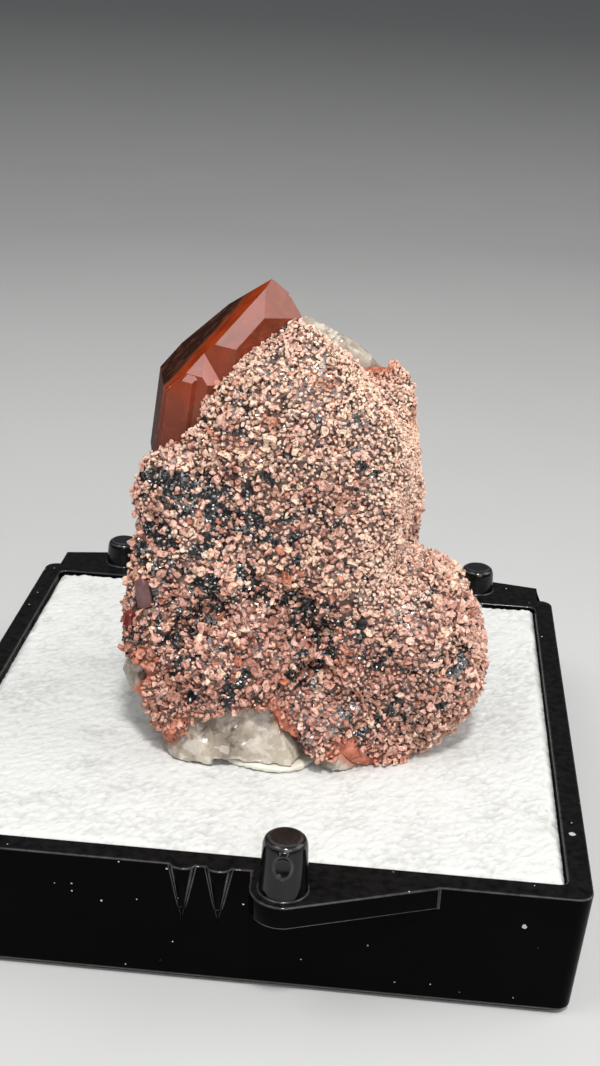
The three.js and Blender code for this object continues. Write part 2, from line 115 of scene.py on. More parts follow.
# Hollows between the lobe, the shelf and the body of the rock: place (mm), radius and strength
CLEFTS = [
    ((1.6, -5.9, 15.0), 1.0, 1.0),
    ((2.6, -5.8, 13.6), 0.9, 1.0),
    ((2.3, -6.1, 11.6), 0.8, 0.9),
    ((-0.3, -6.2, 15.6), 0.8, 0.7),
    ((-3.9, -6.6, 13.2), 1.0, 0.8),
    ((-2.5, -6.2, 14.3), 1.0, 0.9),
    ((-5.2, -5.9, 15.1), 0.9, 0.7),
    ((4.4, -6.6, 10.2), 0.7, 0.6),
    ((9.3, -5.5, 12.4), 0.8, 0.6),
]
# Rusty orange spots
RUST_PATCHES = [
    ((0.0, -5.5, 24.1), 0.6, 1.0),
    ((2.3, -4.7, 26.0), 0.6, 0.9),
    ((-1.7, -5.4, 23.2), 0.6, 0.8),
    ((4.0, -6.2, 12.8), 0.6, 0.6),
    ((6.9, 0.5, 23.0), 0.8, 0.8),
]


# Noise and shapes


def cell_random(cell, seed):
    """Repeatable random numbers from 0 to 1, one for each lattice cell."""
    spread = cell[..., 0] * 127.1 + cell[..., 1] * 311.7 + cell[..., 2] * 74.7 + seed * 53.3
    value = np.sin(spread) * 43758.5453
    return value - np.floor(value)


def noise(points, width, seed):
    """Smooth noise from -1 to 1 at each point."""
    q = points / width
    cell = np.floor(q)
    t = q - cell
    t = t * t * (3 - 2 * t)
    total = np.zeros(len(points))
    for corner in np.ndindex(2, 2, 2):
        step = np.array(corner, float)
        weight = np.prod(np.where(step > 0, t, 1 - t), axis=1)
        total += weight * cell_random(cell + step, seed)
    return 2 * total - 1


def cells(points, width, seed):
    """Distances to the nearest and second nearest cell points, as shares of the width."""
    q = points / width
    cell = np.floor(q)
    first = np.full(len(points), 9.0)
    second = np.full(len(points), 9.0)
    for corner in np.ndindex(3, 3, 3):
        at = cell + np.array(corner, float) - 1
        place = np.stack([at[:, a] + cell_random(at, seed + a) for a in range(3)], axis=1)
        far = np.linalg.norm(place - q, axis=1)
        second = np.minimum(second, np.maximum(first, far))
        first = np.minimum(first, far)
    return first, second


def broken(points, width, seed):
    """Heights of broken blocks, about -1 to 1: each block has its own step and slope."""
    q = points / width
    cell = np.floor(q)
    near = np.full(len(points), 9.0)
    height = np.zeros(len(points))
    for corner in np.ndindex(3, 3, 3):
        at = cell + np.array(corner, float) - 1
        off = q - np.stack([at[:, a] + cell_random(at, seed + a) for a in range(3)], axis=1)
        slope = np.stack([2 * cell_random(at, seed + 5 + a) - 1 for a in range(3)], axis=1)
        own = 0.6 * (2 * cell_random(at, seed + 9) - 1) + (slope * off).sum(axis=1)
        far = np.linalg.norm(off, axis=1)
        height = np.where(far < near, own, height)
        near = np.minimum(near, far)
    return height


def smooth_step(low, high, value):
    t = np.clip((value - low) / (high - low), 0, 1)
    return t * t * (3 - 2 * t)


def unit(vectors):
    """The vectors, one in each row, at length 1."""
    return vectors / np.linalg.norm(vectors, axis=1)[:, None]


def patch_strength(points, patches):
    """How strongly each point lies in one of the round patches, from 0 to 1."""
    strength = np.zeros(len(points))
    for centre, radius, most in patches:
        wavy = 0.35 * noise(points, 0.8, 91)
        away = (points - np.array(centre)) * np.array([1, 0.3, 1])
        far = np.linalg.norm(away, axis=1) / radius + wavy
        strength = np.maximum(strength, most * (1 - smooth_step(0.55, 1.25, far)))
    return strength


def mesh_from(name, points, faces):
    """A mesh of triangles from points in millimetres."""
    mesh = bpy.data.meshes.new(name)
    count = len(faces)
    mesh.vertices.add(len(points))
    mesh.vertices.foreach_set("co", (points * MM).astype(np.float32).ravel())
    mesh.loops.add(3 * count)
    mesh.loops.foreach_set("vertex_index", faces.astype(np.int32).ravel())
    mesh.polygons.add(count)
    mesh.polygons.foreach_set("loop_start", np.arange(0, 3 * count, 3, dtype=np.int32))
    mesh.update(calc_edges=True)
    mesh.validate()
    return mesh


def set_values(mesh, name, values):
    """Stores one number for each point of the mesh."""
    attribute = mesh.attributes.new(name, "FLOAT", "POINT")
    attribute.data.foreach_set("value", np.asarray(values, np.float32))


def arrays_of(mesh):
    """Points in millimetres, triangles and point normals."""
    mesh.calc_loop_triangles()
    points = np.empty(len(mesh.vertices) * 3, np.float32)
    mesh.vertices.foreach_get("co", points)
    normals = np.empty(len(mesh.vertices) * 3, np.float32)
    mesh.vertices.foreach_get("normal", normals)
    faces = np.empty(len(mesh.loop_triangles) * 3, np.int32)
    mesh.loop_triangles.foreach_get("vertices", faces)
    return points.reshape(-1, 3).astype(float) / MM, faces.reshape(-1, 3), normals.reshape(-1, 3)


def mesh_normals(mesh):
    normals = np.empty(len(mesh.polygons) * 3, np.float32)
    mesh.polygons.foreach_get("normal", normals)
    return normals.reshape(-1, 3)


def remeshed(node, voxel):
    """Arrays of a CAD node's form in even small faces of about the voxel's size in millimetres."""
    copy = bpy.data.objects.new(node + "_work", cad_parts[node].data.copy())
    bpy.context.scene.collection.objects.link(copy)
    remesh = copy.modifiers.new("Even faces", "REMESH")
    remesh.mode = "VOXEL"
    remesh.voxel_size = voxel * MM
    made = bpy.data.meshes.new_from_object(copy.evaluated_get(bpy.context.evaluated_depsgraph_get()))
    arrays = arrays_of(made)
    bpy.data.objects.remove(copy)
    return arrays


def evened(points, faces, share, rounds):
    """Moves each point towards the middle of its neighbours; share (0 to 1) says how far."""
    start = faces.ravel()
    end = np.roll(faces, -1, axis=1).ravel()
    count = np.maximum(np.bincount(start, minlength=len(points)), 1)
    for _ in range(rounds):
        middle = [np.bincount(start, points[end, axis], len(points)) / count for axis in range(3)]
        points = points + share[:, None] * (np.stack(middle, axis=1) - points)
    return points


def surface_of(node):
    """A search tree over a CAD node's surface, in millimetres."""
    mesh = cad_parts[node].data
    points = [tuple(v.co / MM) for v in mesh.vertices]
    return BVHTree.FromPolygons(points, [tuple(p.vertices) for p in mesh.polygons])


def nearest(points, trees, reach):
    """Nearest place on the trees for each point, and its distance (reach where there is none)."""
    places = points.copy()
    far = np.full(len(points), float(reach))
    for index, point in enumerate(points):
        for tree in trees:
            place, _, _, distance = tree.find_nearest(Vector(point), far[index])
            if place is not None and distance < far[index]:
                places[index] = place
                far[index] = distance
    return places, far


def shade_smooth(mesh, smooth=True):
    mesh.polygons.foreach_set("use_smooth", np.full(len(mesh.polygons), smooth))


def add_piece(name, mesh, material, replaces=()):
    """Puts a mesh into the scene on the CAD frame."""
    piece = bpy.data.objects.new(name, mesh)
    bpy.context.scene.collection.objects.link(piece)
    mesh.materials.clear()
    mesh.materials.append(material)
    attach(piece, "root")
    if replaces:
        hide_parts(*replaces)
    return piece


def constant(value):
    """A spacing or a chance that is the same at every point."""
    return lambda points: np.full(len(points), value)


def spread_over(points, faces, spacing, seed, keep):
    """Places at least a spacing apart over a surface, as face numbers and points.

    spacing gives each candidate's clearance in millimetres, and keep its chance."""
    rng = np.random.default_rng(seed)
    a, b, c = points[faces[:, 0]], points[faces[:, 1]], points[faces[:, 2]]
    area = np.linalg.norm(np.cross(b - a, c - a), axis=1) / 2
    tries = int(area.sum() / spacing(a).min() ** 2 * 5)
    face = rng.choice(len(faces), tries, p=area / area.sum())
    u, v = rng.random(tries), rng.random(tries)
    over = u + v > 1
    u[over], v[over] = 1 - u[over], 1 - v[over]
    at = a[face] + (b - a)[face] * u[:, None] + (c - a)[face] * v[:, None]
    wanted = rng.random(tries) < keep(at)
    face, at = face[wanted], at[wanted]
    clearance = spacing(at)
    size = float(clearance.max())
    taken, chosen = {}, []
    for index in range(len(at)):
        p, gap = at[index], clearance[index]
        i, j, k = (int(math.floor(x / size)) for x in p)
        near = [
            other
            for x in (i - 1, i, i + 1)
            for y in (j - 1, j, j + 1)
            for z in (k - 1, k, k + 1)
            for other in taken.get((x, y, z), ())
        ]
        if all((p[0] - o[0]) ** 2 + (p[1] - o[1]) ** 2 + (p[2] - o[2]) ** 2 > gap * gap for o in near):
            taken.setdefault((i, j, k), []).append(p)
            chosen.append(index)
    return face[chosen], at[chosen]


def at_most(limit, rng, face, at):
    """The places, or a random choice of them where there are more than the limit."""
    if len(at) > limit:
        pick = rng.permutation(len(at))[:limit]
        face, at = face[pick], at[pick]
    return face, at


def ball_template(divisions):
    """Unit ball of triangles as points and faces."""
    work = bmesh.new()
    bmesh.ops.create_icosphere(work, subdivisions=divisions, radius=1.0)
    points = np.array([v.co[:] for v in work.verts])
    faces = np.array([[v.index for v in f.verts] for f in work.faces])
    work.free()
    return points, faces


def frames_on(normals, rng):
    """Axes standing on each normal, turned at random, as columns."""
    helper = rng.normal(size=normals.shape)
    side = unit(np.cross(normals, helper))
    other = np.cross(normals, side)
    return np.stack([side, other, normals], axis=2)


def scattered(faces, places, axes, shapes):
    """Points and faces of many shapes that share their faces, one at each place on its axes."""
    points = places[:, None, :] + np.einsum("gij,gvj->gvi", axes, shapes)
    shift = (np.arange(len(places)) * shapes.shape[1])[:, None, None]
    return points.reshape(-1, 3), (faces[None] + shift).reshape(-1, 3)


# Shader parts


class Nodes:
    """Adds and joins shader nodes in a tree."""

    def __init__(self, tree):
        self.tree = tree

    def add(self, kind, inputs=(), **settings):
        node = self.tree.nodes.new(kind)
        for key, value in settings.items():
            setattr(node, key, value)
        for key, value in dict(inputs).items():
            self.fill(node.inputs[key], value)
        return node

    def fill(self, socket, value):
        """Gives a socket a plain value, or joins another node's output to it."""
        if isinstance(value, bpy.types.NodeSocket):
            self.tree.links.new(value, socket)
        else:
            socket.default_value = value

    def group(self, name, **inputs):
        """Outputs of one of the shared groups."""
        node = self.add("ShaderNodeGroup", node_tree=bpy.data.node_groups[name])
        for key, value in inputs.items():
            self.fill(node.inputs[key], value)
        return node.outputs

    def ramp(self, factor, *stops):
        """Colour ramp from (place, grey or colour) stops."""
        node = self.add("ShaderNodeValToRGB", {0: factor})
        elements = node.color_ramp.elements
        while len(elements) < len(stops):
            elements.new(0.5)
        for element, (place, colour) in zip(elements, stops):
            element.position = place
            tone = (colour,) * 3 if isinstance(colour, (int, float)) else tuple(colour)
            element.color = (*tone, 1)
        return node.outputs[0]

    def mix(self, factor, a, b, mode="MIX"):
        inputs = {0: factor, 6: rgba(a), 7: rgba(b)}
        return self.add("ShaderNodeMix", inputs, data_type="RGBA", blend_type=mode).outputs[2]

    def times(self, a, b):
        return self.math("MULTIPLY", a, b)

    def math(self, operation, a, b=0.0, clamp=False):
        return self.add("ShaderNodeMath", {0: a, 1: b}, operation=operation, use_clamp=clamp).outputs[0]

    def attribute(self, name):
        return self.add("ShaderNodeAttribute", attribute_name=name).outputs["Fac"]

    def place(self):
        return self.add("ShaderNodeTexCoord").outputs["Object"]

    def stretched(self, *scale):
        """The place with its axes scaled, for marks that run one way."""
        return self.add("ShaderNodeMapping", {"Vector": self.place(), "Scale": scale}).outputs[0]

    def noise(self, scale, detail=3.0, roughness=0.55, place=None):
        inputs = {"Scale": scale, "Detail": detail, "Roughness": roughness}
        inputs["Vector"] = place or self.place()
        return self.add("ShaderNodeTexNoise", inputs).outputs[0]

    def cells(self, scale, **settings):
        """Cells in space: a random number for each, and the distance from its middle."""
        inputs = {"Vector": self.place(), "Scale": scale}
        outputs = self.add("ShaderNodeTexVoronoi", inputs, **settings).outputs
        parts = self.add("ShaderNodeSeparateColor", {0: outputs["Color"]}).outputs
        return parts[0], outputs["Distance"]

    def bump(self, height, strength, distance):
        inputs = {"Height": height, "Strength": strength, "Distance": distance * MM}
        return self.add("ShaderNodeBump", inputs).outputs[0]


def rgba(value):
    return value if isinstance(value, bpy.types.NodeSocket) or len(value) == 4 else (*value, 1)


def new_group(name, inputs, outputs):
    """Empty shader group with named sockets: (name, socket kind, default)."""
    tree = bpy.data.node_groups.new(name, "ShaderNodeTree")
    for label, kind, default in inputs:
        socket = tree.interface.new_socket(label, in_out="INPUT", socket_type=kind)
        socket.default_value = default
    for label, kind in outputs:
        tree.interface.new_socket(label, in_out="OUTPUT", socket_type=kind)
    build = Nodes(tree)
    return build, build.add("NodeGroupInput").outputs, build.add("NodeGroupOutput").inputs


def make_groups():
    """Effects that several materials share."""
    build, take, give = new_group(
        "Dust specks",
        [("Spacing", "NodeSocketFloat", 900.0), ("Amount", "NodeSocketFloat", 0.1)],
        [("Mask", "NodeSocketFloat")],
    )
    wavy = build.noise(2600.0, 2.0)
    chance, distance = build.cells(take["Spacing"])
    reach = build.times(build.math("LESS_THAN", chance, take["Amount"]), wavy)
    build.fill(give["Mask"], build.math("LESS_THAN", distance, build.times(reach, 0.34)))

    build, take, give = new_group(
        "Clouds",
        [
            ("Scale", "NodeSocketFloat", 300.0),
            ("Edge", "NodeSocketFloat", 0.15),
            ("Middle", "NodeSocketFloat", 0.5),
        ],
        [("Mask", "NodeSocketFloat"), ("Fine", "NodeSocketFloat")],
    )
    place = build.place()
    inputs = {"Vector": place, "Scale": take["Scale"], "Detail": 5.0, "Distortion": 0.7}
    swirl = build.add("ShaderNodeTexNoise", inputs)
    low = build.math("SUBTRACT", take["Middle"], take["Edge"])
    high = build.math("ADD", take["Middle"], take["Edge"])
    inputs = {"Value": swirl.outputs[0], "From Min": low, "From Max": high}
    build.fill(give["Mask"], build.add("ShaderNodeMapRange", inputs).outputs[0])
    inputs = {"Vector": place, "Scale": build.times(take["Scale"], 7.0)}
    build.fill(give["Fine"], build.add("ShaderNodeTexNoise", inputs).outputs[0])

    build, take, give = new_group(
        "Grain colour",
        [
            ("Pink", "NodeSocketColor", (0.5, 0.25, 0.18, 1)),
            ("Tip", "NodeSocketColor", (0.7, 0.5, 0.4, 1)),
        ],
        [("Colour", "NodeSocketColor"), ("Roughness", "NodeSocketFloat")],
    )
    tone, painted_light_rise = build.attribute("tone"), build.attribute("painted_light_rise")
    pale, rust = build.attribute("pale"), build.attribute("rust")
    deep = build.mix(build.ramp(tone, (0.0, 0.0), (0.4, 1.0)), (0.36, 0.125, 0.08), take["Pink"])
    base = build.mix(build.ramp(tone, (0.5, 0.0), (1.0, 1.0)), deep, (0.86, 0.56, 0.38))
    # Painted light by each point's height on its grain: a painted highlight in the tip colour at the top
    height = build.math("POWER", painted_light_rise, 1.8)
    bright = build.times(height, build.ramp(tone, (0.0, 0.3), (0.6, 0.75)))
    lit = build.mix(bright, base, take["Tip"])
    creamy = build.mix(build.times(pale, 0.6), lit, (0.88, 0.62, 0.48))
    rusty = build.mix(build.times(rust, 0.8), creamy, (0.52, 0.13, 0.05))
    specks = build.ramp(build.noise(6400.0, 3.0), (0.36, 0.28), (0.5, 1.0))
    # Painted shade on the grains' lower sides and in their sunk tips
    shade = build.ramp(painted_light_rise, (0.0, 0.16), (0.42, 1.0))
    fine = build.mix(1.0, rusty, specks, "MULTIPLY")
    build.fill(give["Colour"], build.mix(1.0, fine, shade, "MULTIPLY"))
    dull = build.ramp(build.noise(3100.0, 2.0), (0.35, 0.42), (0.7, 0.8))
    build.fill(give["Roughness"], dull)


def new_material(name, **values):
    """Material with a Principled shader whose plain values are set by name."""
    made = bpy.data.materials.new(name)
    made.use_nodes = True
    shader = made.node_tree.nodes["Principled BSDF"]
    for key, value in values.items():
        shader.inputs[key.replace("_", " ")].default_value = value
    return made, Nodes(made.node_tree), shader


def join(build, shader, **sources):
    """Joins outputs to the shader's sockets, named with _ for a space."""
    for key, source in sources.items():
        build.fill(shader.inputs[key.replace("_", " ")], source)


# Sizes and colours


def colour_property(name, description, default):
    return FloatVectorProperty(
        name=name, description=description, subtype="COLOR", default=default
    )


def length_property(name, description, default):
    """A length with its default in millimetres."""
    return FloatProperty(
        name=name, description=description, unit="LENGTH", precision=5, default=default * MM
    )


class BoxLooks(bpy.types.PropertyGroup):
    edge: length_property("Edge", "Radius of the moulded edges", 0.07)
    plastic: colour_property("Plastic", "Colour of the box", (0.0008, 0.0009, 0.0009))
    dust: FloatProperty(
        name="Dust",
        description="Share of places with a speck of dust",
        subtype="FACTOR",
        default=0.02,
        min=0,
        max=1,
    )
    lint: IntProperty(name="Lint", description="Number of bits of lint", default=28, min=0)


class FoamLooks(bpy.types.PropertyGroup):
    across: IntProperty(
        name="Points across", description="Points along each side of the pad", default=236
    )
    cell: length_property("Cell", "Width of a foam cell", 0.34)
    depth: length_property("Depth", "Depth of the foam's cells", 0.21)
    white: colour_property("White", "Colour of the foam", (0.63, 0.635, 0.615))


class CrustLooks(bpy.types.PropertyGroup):
    ground: colour_property("Ground", "Black hematite under the grains", (0.009, 0.009, 0.010))
    pink: colour_property("Pink", "Grains", (0.61, 0.27, 0.20))
    # tip is the colour of the painted highlight on the tops of the grains
    tip: colour_property("Tip", "Tips of the grains", (1.0, 0.73, 0.61))
    rust: colour_property("Rust", "Broken edge of the crust", (0.50, 0.115, 0.05))
    grain: length_property("Grain", "Spacing of the coarse grains", 0.3)
    fine: length_property("Fine grain", "Spacing of the fine grains", 0.2)
    plate: length_property("Plate", "Spacing of the hematite plates", 0.125)


class QuartzLooks(bpy.types.PropertyGroup):
    cloud: colour_property("Cloud", "Milky parts", (0.54, 0.465, 0.375))
    clear: colour_property("Clear", "Clearer parts", (0.25, 0.21, 0.165))


class CrystalLooks(bpy.types.PropertyGroup):
    edge: length_property("Edge", "Width of the worn crystal edges", 0.035)
    red: colour_property("Red", "Main body colour", (0.27, 0.050, 0.024))
    # dark is the colour of the painted shade in the crystals, glow that of the painted light coming
    # through them
    dark: colour_property("Dark", "Darkest zones", (0.028, 0.010, 0.007))
    glow: colour_property("Glow", "Where light comes through", (0.38, 0.045, 0.007))


class StageLooks(bpy.types.PropertyGroup):
    floor: colour_property("Floor", "Colour of the floor", (0.52, 0.52, 0.515))
    power: FloatProperty(
        name="Light", description="Scales the power of all lights", default=1.0, min=0
    )


def looks():
    return bpy.context.scene.specimen_looks


class SpecimenLooks(bpy.types.PropertyGroup):
    box: PointerProperty(type=BoxLooks)
    foam: PointerProperty(type=FoamLooks)
    crust: PointerProperty(type=CrustLooks)
    quartz: PointerProperty(type=QuartzLooks)
    crystal: PointerProperty(type=CrystalLooks)
    stage: PointerProperty(type=StageLooks)


# Box, foam and putty


def bevelled(node, width, segments, clamp=True):
    """Copy of a CAD node's mesh with its flat faces joined and its edges rounded."""
    work = bmesh.new()
    work.from_mesh(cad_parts[node].data)
    bmesh.ops.remove_doubles(work, verts=work.verts, dist=0.002 * MM)
    bmesh.ops.dissolve_limit(work, angle_limit=math.radians(1.2), verts=work.verts, edges=work.edges)
    work.normal_update()
    worn_and_lit = work.faces.layers.float.new("worn_and_lit")
    sharp = [e for e in work.edges if len(e.link_faces) == 2 and e.calc_face_angle(0) > math.radians(24)]
    rounded = bmesh.ops.bevel(
        work, geom=sharp, offset=width, segments=segments, profile=0.6, affect="EDGES", clamp_overlap=clamp
    )
    # The rounded faces are marked for a lighter colour: painted highlight lines along the box's edges,
    # wear and painted highlight on the crystals' edges
    for face in rounded["faces"]:
        face[worn_and_lit] = 1.0
    work.normal_update()
    # Faces that look up get a little of the same lighter colour: painted light on the tops
    for face in work.faces:
        if face[worn_and_lit] < 0.5 and face.normal.z > 0.9:
            face[worn_and_lit] = 0.22
    bmesh.ops.triangulate(work, faces=work.faces)
    mesh = bpy.data.meshes.new(node + "_dressed")
    work.to_mesh(mesh)
    work.free()
    return mesh


def box_material(name, gloss):
    own = looks().box
    made, build, shader = new_material(name, IOR=1.5, Specular_IOR_Level=gloss)
    specks = build.group("Dust specks", Spacing=1300.0, Amount=own.dust)[0]
    fine = build.group("Dust specks", Spacing=3700.0, Amount=own.dust)[0]
    dusty = build.math("MAXIMUM", specks, fine)
    haze = build.ramp(build.noise(190.0, 4.0), (0.45, 0.0), (0.8, 1.0))
    plain = build.mix(build.times(haze, 0.5), own.plastic, [c * 2.4 for c in own.plastic])
    # Painted light: lighter rounded edges as highlight lines and slightly lighter upper faces, in patches
    patchy = build.ramp(build.noise(2400.0, 3.0), (0.3, 0.25), (0.65, 1.0))
    painted_edge_light = build.times(build.attribute("worn_and_lit"), patchy)
    edged = build.mix(build.times(painted_edge_light, 0.7), plain, (0.05, 0.05, 0.052))
    colour = build.mix(dusty, edged, (0.42, 0.41, 0.39))
    scuffs = build.noise(800.0, 6.0, 0.7, build.stretched(0.25, 3.0, 3.0))
    scuffed = build.ramp(scuffs, (0.45, 0.12), (0.75, 0.34))
    rough = build.math("ADD", scuffed, build.times(dusty, 0.5), True)
    wavy = build.math("ADD", build.times(build.noise(90.0, 2.0), 0.6), build.times(scuffs, 0.08))
    join(build, shader, Base_Color=colour, Roughness=rough, Normal=build.bump(wavy, 0.25, 0.06))
    return made


class SPECIMEN_OT_box(bpy.types.Operator):
    """Round the box base's edges and give it dusty black plastic with bits of lint"""

    bl_idname = "specimen.box"
    bl_label = "Box base"

    def execute(self, context):
        own = looks().box
        material = box_material("Black moulded plastic", 0.03)
        mesh = bevelled("box_base", own.edge, 2, clamp=False)
        shade_smooth(mesh)
        box = add_piece("box_shell", mesh, material, ["box_base"])
        box.modifiers.new("Face weighted normals", "WEIGHTED_NORMAL").keep_sharp = True
        mesh.materials.append(box_material("Polished black plastic", 0.45))
        worn_and_lit = np.empty(len(mesh.polygons), np.float32)
        mesh.attributes["worn_and_lit"].data.foreach_get("value", worn_and_lit)
        high = np.array([face.center.z for face in mesh.polygons]) > (FOAM_TOP + 0.15) * MM
        mesh.polygons.foreach_set("material_index", ((worn_and_lit > 0.5) | high).astype(np.int32))
        self.add_lint(own)
        return {"FINISHED"}

    def add_lint(self, own):
        """Strews the lint over the rim, the ledges and the outer walls."""
        points, faces, _ = arrays_of(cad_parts["box_base"].data)
        a, b, c = (points[faces[:, corner]] for corner in range(3))
        up = np.cross(b - a, c - a)
        up /= np.maximum(np.linalg.norm(up, axis=1), 1e-9)[:, None]
        middle = points[faces].mean(axis=1)
        outer = (np.abs(middle[:, :2]).max(axis=1) > WALL) & (middle[:, 2] > 0.5)
        faces, up = faces[outer], up[outer]
        rng = np.random.default_rng(5)
        face, at = spread_over(points, faces, constant(LINT_GAP), 5, constant(1.0))
        pick = rng.permutation(len(at))[: own.lint]
        face, at = face[pick], at[pick]
        template, ball = ball_template(1)
        size = rng.uniform(0.012, 0.045, (len(at), 1, 3)) * np.array([1.7, 1.0, 0.5])
        lumps = 1 + 0.35 * rng.uniform(-1, 1, (len(at), len(template), 1))
        shapes = template[None] * size * lumps
        points, faces = scattered(ball, at, frames_on(up[face], rng), shapes)
        made, build, shader = new_material("Lint", Roughness=0.9)
        tone = build.ramp(build.noise(4000.0, 2.0), (0.35, (0.5, 0.48, 0.45)), (0.65, (0.82, 0.81, 0.78)))
        join(build, shader, Base_Color=tone)
        add_piece("box_lint", mesh_from("box_lint", points, faces), made)


class SPECIMEN_OT_foam(bpy.types.Operator):
    """Fill the tray with a white foam pad whose top shows its cells"""

    bl_idname = "specimen.foam"
    bl_label = "Foam pad"

    def execute(self, context):
        own = looks().foam
        low, high = (np.array(corner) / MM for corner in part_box("foam_pad"))
        count = own.across
        line = np.linspace(0, 1, count)
        x, y = (low[axis] + line * (high[axis] - low[axis]) for axis in range(2))
        x, y = np.meshgrid(x, y, indexing="ij")
        flat = np.stack([x.ravel(), y.ravel(), np.zeros(count * count)], axis=1)
        width = own.cell / MM
        drift = np.stack([noise(flat, 0.5, 3), noise(flat, 0.5, 4), 0 * flat[:, 0]], 1)
        first, second = cells(flat + 0.12 * drift, width, 20)
        small, _ = cells(flat, width * 0.5, 30)
        ridge = 1 - smooth_step(0.02, 0.42, second - first)
        height = 0.5 * (1 - first) + 0.25 * ridge + 0.35 * (1 - small) + 0.15 * noise(flat, 0.16, 33)
        height += 0.16 * noise(flat, 1.6, 35)
        height = (height - height.min()) / (height.max() - height.min())
        rim = np.min([x - low[0], high[0] - x, y - low[1], high[1] - y], axis=0).ravel()
        drop = 0.32 * (1 - smooth_step(0, 0.45 + 0.2 * noise(flat, 0.7, 41), rim)) ** 1.5
        points = flat.copy()
        points[:, 2] = high[2] + (height - 0.72) * own.depth / MM - drop
        index = np.arange(count * count).reshape(count, count)
        a, b = index[:-1, :-1].ravel(), index[1:, :-1].ravel()
        c, d = index[1:, 1:].ravel(), index[:-1, 1:].ravel()
        faces = np.concatenate([np.stack([a, b, c], 1), np.stack([a, c, d], 1)])
        border = np.concatenate([index[:, 0], index[-1, 1:], index[-2::-1, -1], index[0, -2:0:-1]])
        foot = points[border].copy()
        foot[:, 2] = low[2]
        lower = len(points) + np.arange(len(border))
        after, under = np.roll(border, -1), np.roll(lower, -1)
        skirt = [np.stack([after, border, lower], 1), np.stack([after, lower, under], 1)]
        bottom = np.stack([np.full(len(border) - 2, lower[0]), lower[2:], lower[1:-1]], 1)
        points = np.concatenate([points, foot])
        faces = np.concatenate([faces, *skirt, bottom])
        mesh = mesh_from("foam_top", points, faces)
        shade_smooth(mesh)
        set_values(mesh, "height", np.concatenate([height, np.full(len(border), 0.5)]))
        made, build, shader = new_material(
            "White foam", Roughness=0.85, Subsurface_Weight=0.15, Subsurface_Scale=0.0004
        )
        shader.inputs["Subsurface Radius"].default_value = (1.0, 0.95, 0.9)
        # Painted shade: the foam is greyer deep in its cells
        grey = [c * 0.72 for c in own.white]
        hollow = build.ramp(build.attribute("height"), (0.1, grey), (0.5, own.white))
        specks = build.group("Dust specks", Spacing=700.0, Amount=0.012)[0]
        colour = build.mix(specks, hollow, (0.35, 0.32, 0.29))
        fine = build.noise(7000.0, 3.0)
        join(build, shader, Base_Color=colour, Normal=build.bump(fine, 0.5, 0.05))
        pad = add_piece("foam_top", mesh, made, ["foam_pad"])
        return {"FINISHED"}


class SPECIMEN_OT_putty(bpy.types.Operator):
    """Press a pale dab of putty between the foam and the specimen's foot"""

    bl_idname = "specimen.putty"
    bl_label = "Mounting putty"

    def execute(self, context):
        points, faces, normals = remeshed("mounting_putty", PUTTY_VOXEL)
        bulge = 0.05 * noise(points, 0.9, 51) + 0.03 * noise(points, 0.35, 52)
        points += normals * (bulge - 0.06)[:, None]
        mesh = mesh_from("putty_dab", points, faces)
        shade_smooth(mesh)
        made, build, shader = new_material(
            "Cream putty", Roughness=0.6, Subsurface_Weight=0.2, Subsurface_Scale=0.0005
        )
        soft = build.group("Clouds", Scale=700.0, Edge=0.2, Middle=0.5)
        colour = build.mix(soft[0], (0.70, 0.67, 0.56), (0.78, 0.76, 0.67))
        join(build, shader, Base_Color=colour, Normal=build.bump(soft[1], 0.35, 0.05))
        add_piece("putty_dab", mesh, made, ["mounting_putty"])
        return {"FINISHED"}


# The rock


def broken_edge(points):
    """Width of the bare broken edge beside the quartz: wide at the foot, narrow higher up."""
    return 0.42 + 0.36 * smooth_step(12.6, 10.0, points[:, 2])


def pressed_out(points):
    """Moves the front of the foot forward a little, where it rests low on the foam."""
    front = smooth_step(-5.2, -6.1, points[:, 1])
    low = smooth_step(9.4, 6.9, points[:, 2])
    middle = smooth_step(-4.8, -3.2, points[:, 0]) * smooth_step(6.4, 4.4, points[:, 0])
    points[:, 1] -= 0.6 * front * low * middle


class Crust:
    """The crust's black ground: its surface, and what lies near each of its points."""

    made = None

    def __init__(self):
        points, faces, normals = remeshed("crusted_matrix", CRUST_VOXEL)
        self.quartz = surface_of("milky_quartz")
        self.reds = [surface_of(node) for node in RED_NODES]
        trees = [self.quartz, *self.reds, surface_of("mounting_putty")]
        places, far = nearest(points, trees, 1.2)
        _, self.to_quartz = nearest(points, [self.quartz], 1.6)
        self.joint = far < TOUCH
        rough = 0.07 * noise(points, 0.7, 61) + 0.045 * noise(points, 0.3, 62)
        first, _ = cells(points, 0.55, 63)
        rough += 0.09 * (0.5 - first) - 0.22 * patch_strength(points, DARK_PATCHES)
        rough -= 0.6 * patch_strength(points, CLEFTS)
        free = smooth_step(0.3, 0.55, far)
        moved = points + normals * (rough * free)[:, None]
        snap = far < 0.42
        pull = np.where(snap, np.clip(1 - NEAR_GAP / np.maximum(far, 1e-6), 0, 1), 0)
        moved += (places - points) * pull[:, None]
        moved[:, 2] = np.maximum(moved[:, 2], FOAM_TOP)
        pressed_out(moved)
        self.points, self.faces, self.normals = moved, faces, normals
        bottom = self.points[:, 2] < FOAM_TOP + 0.12
        self.open = ~(self.joint | bottom)

    @classmethod
    def get(cls):
        if cls.made is None:
            cls.made = cls()
        return cls.made

    def open_faces(self):
        return self.faces[self.open[self.faces].all(axis=1)]


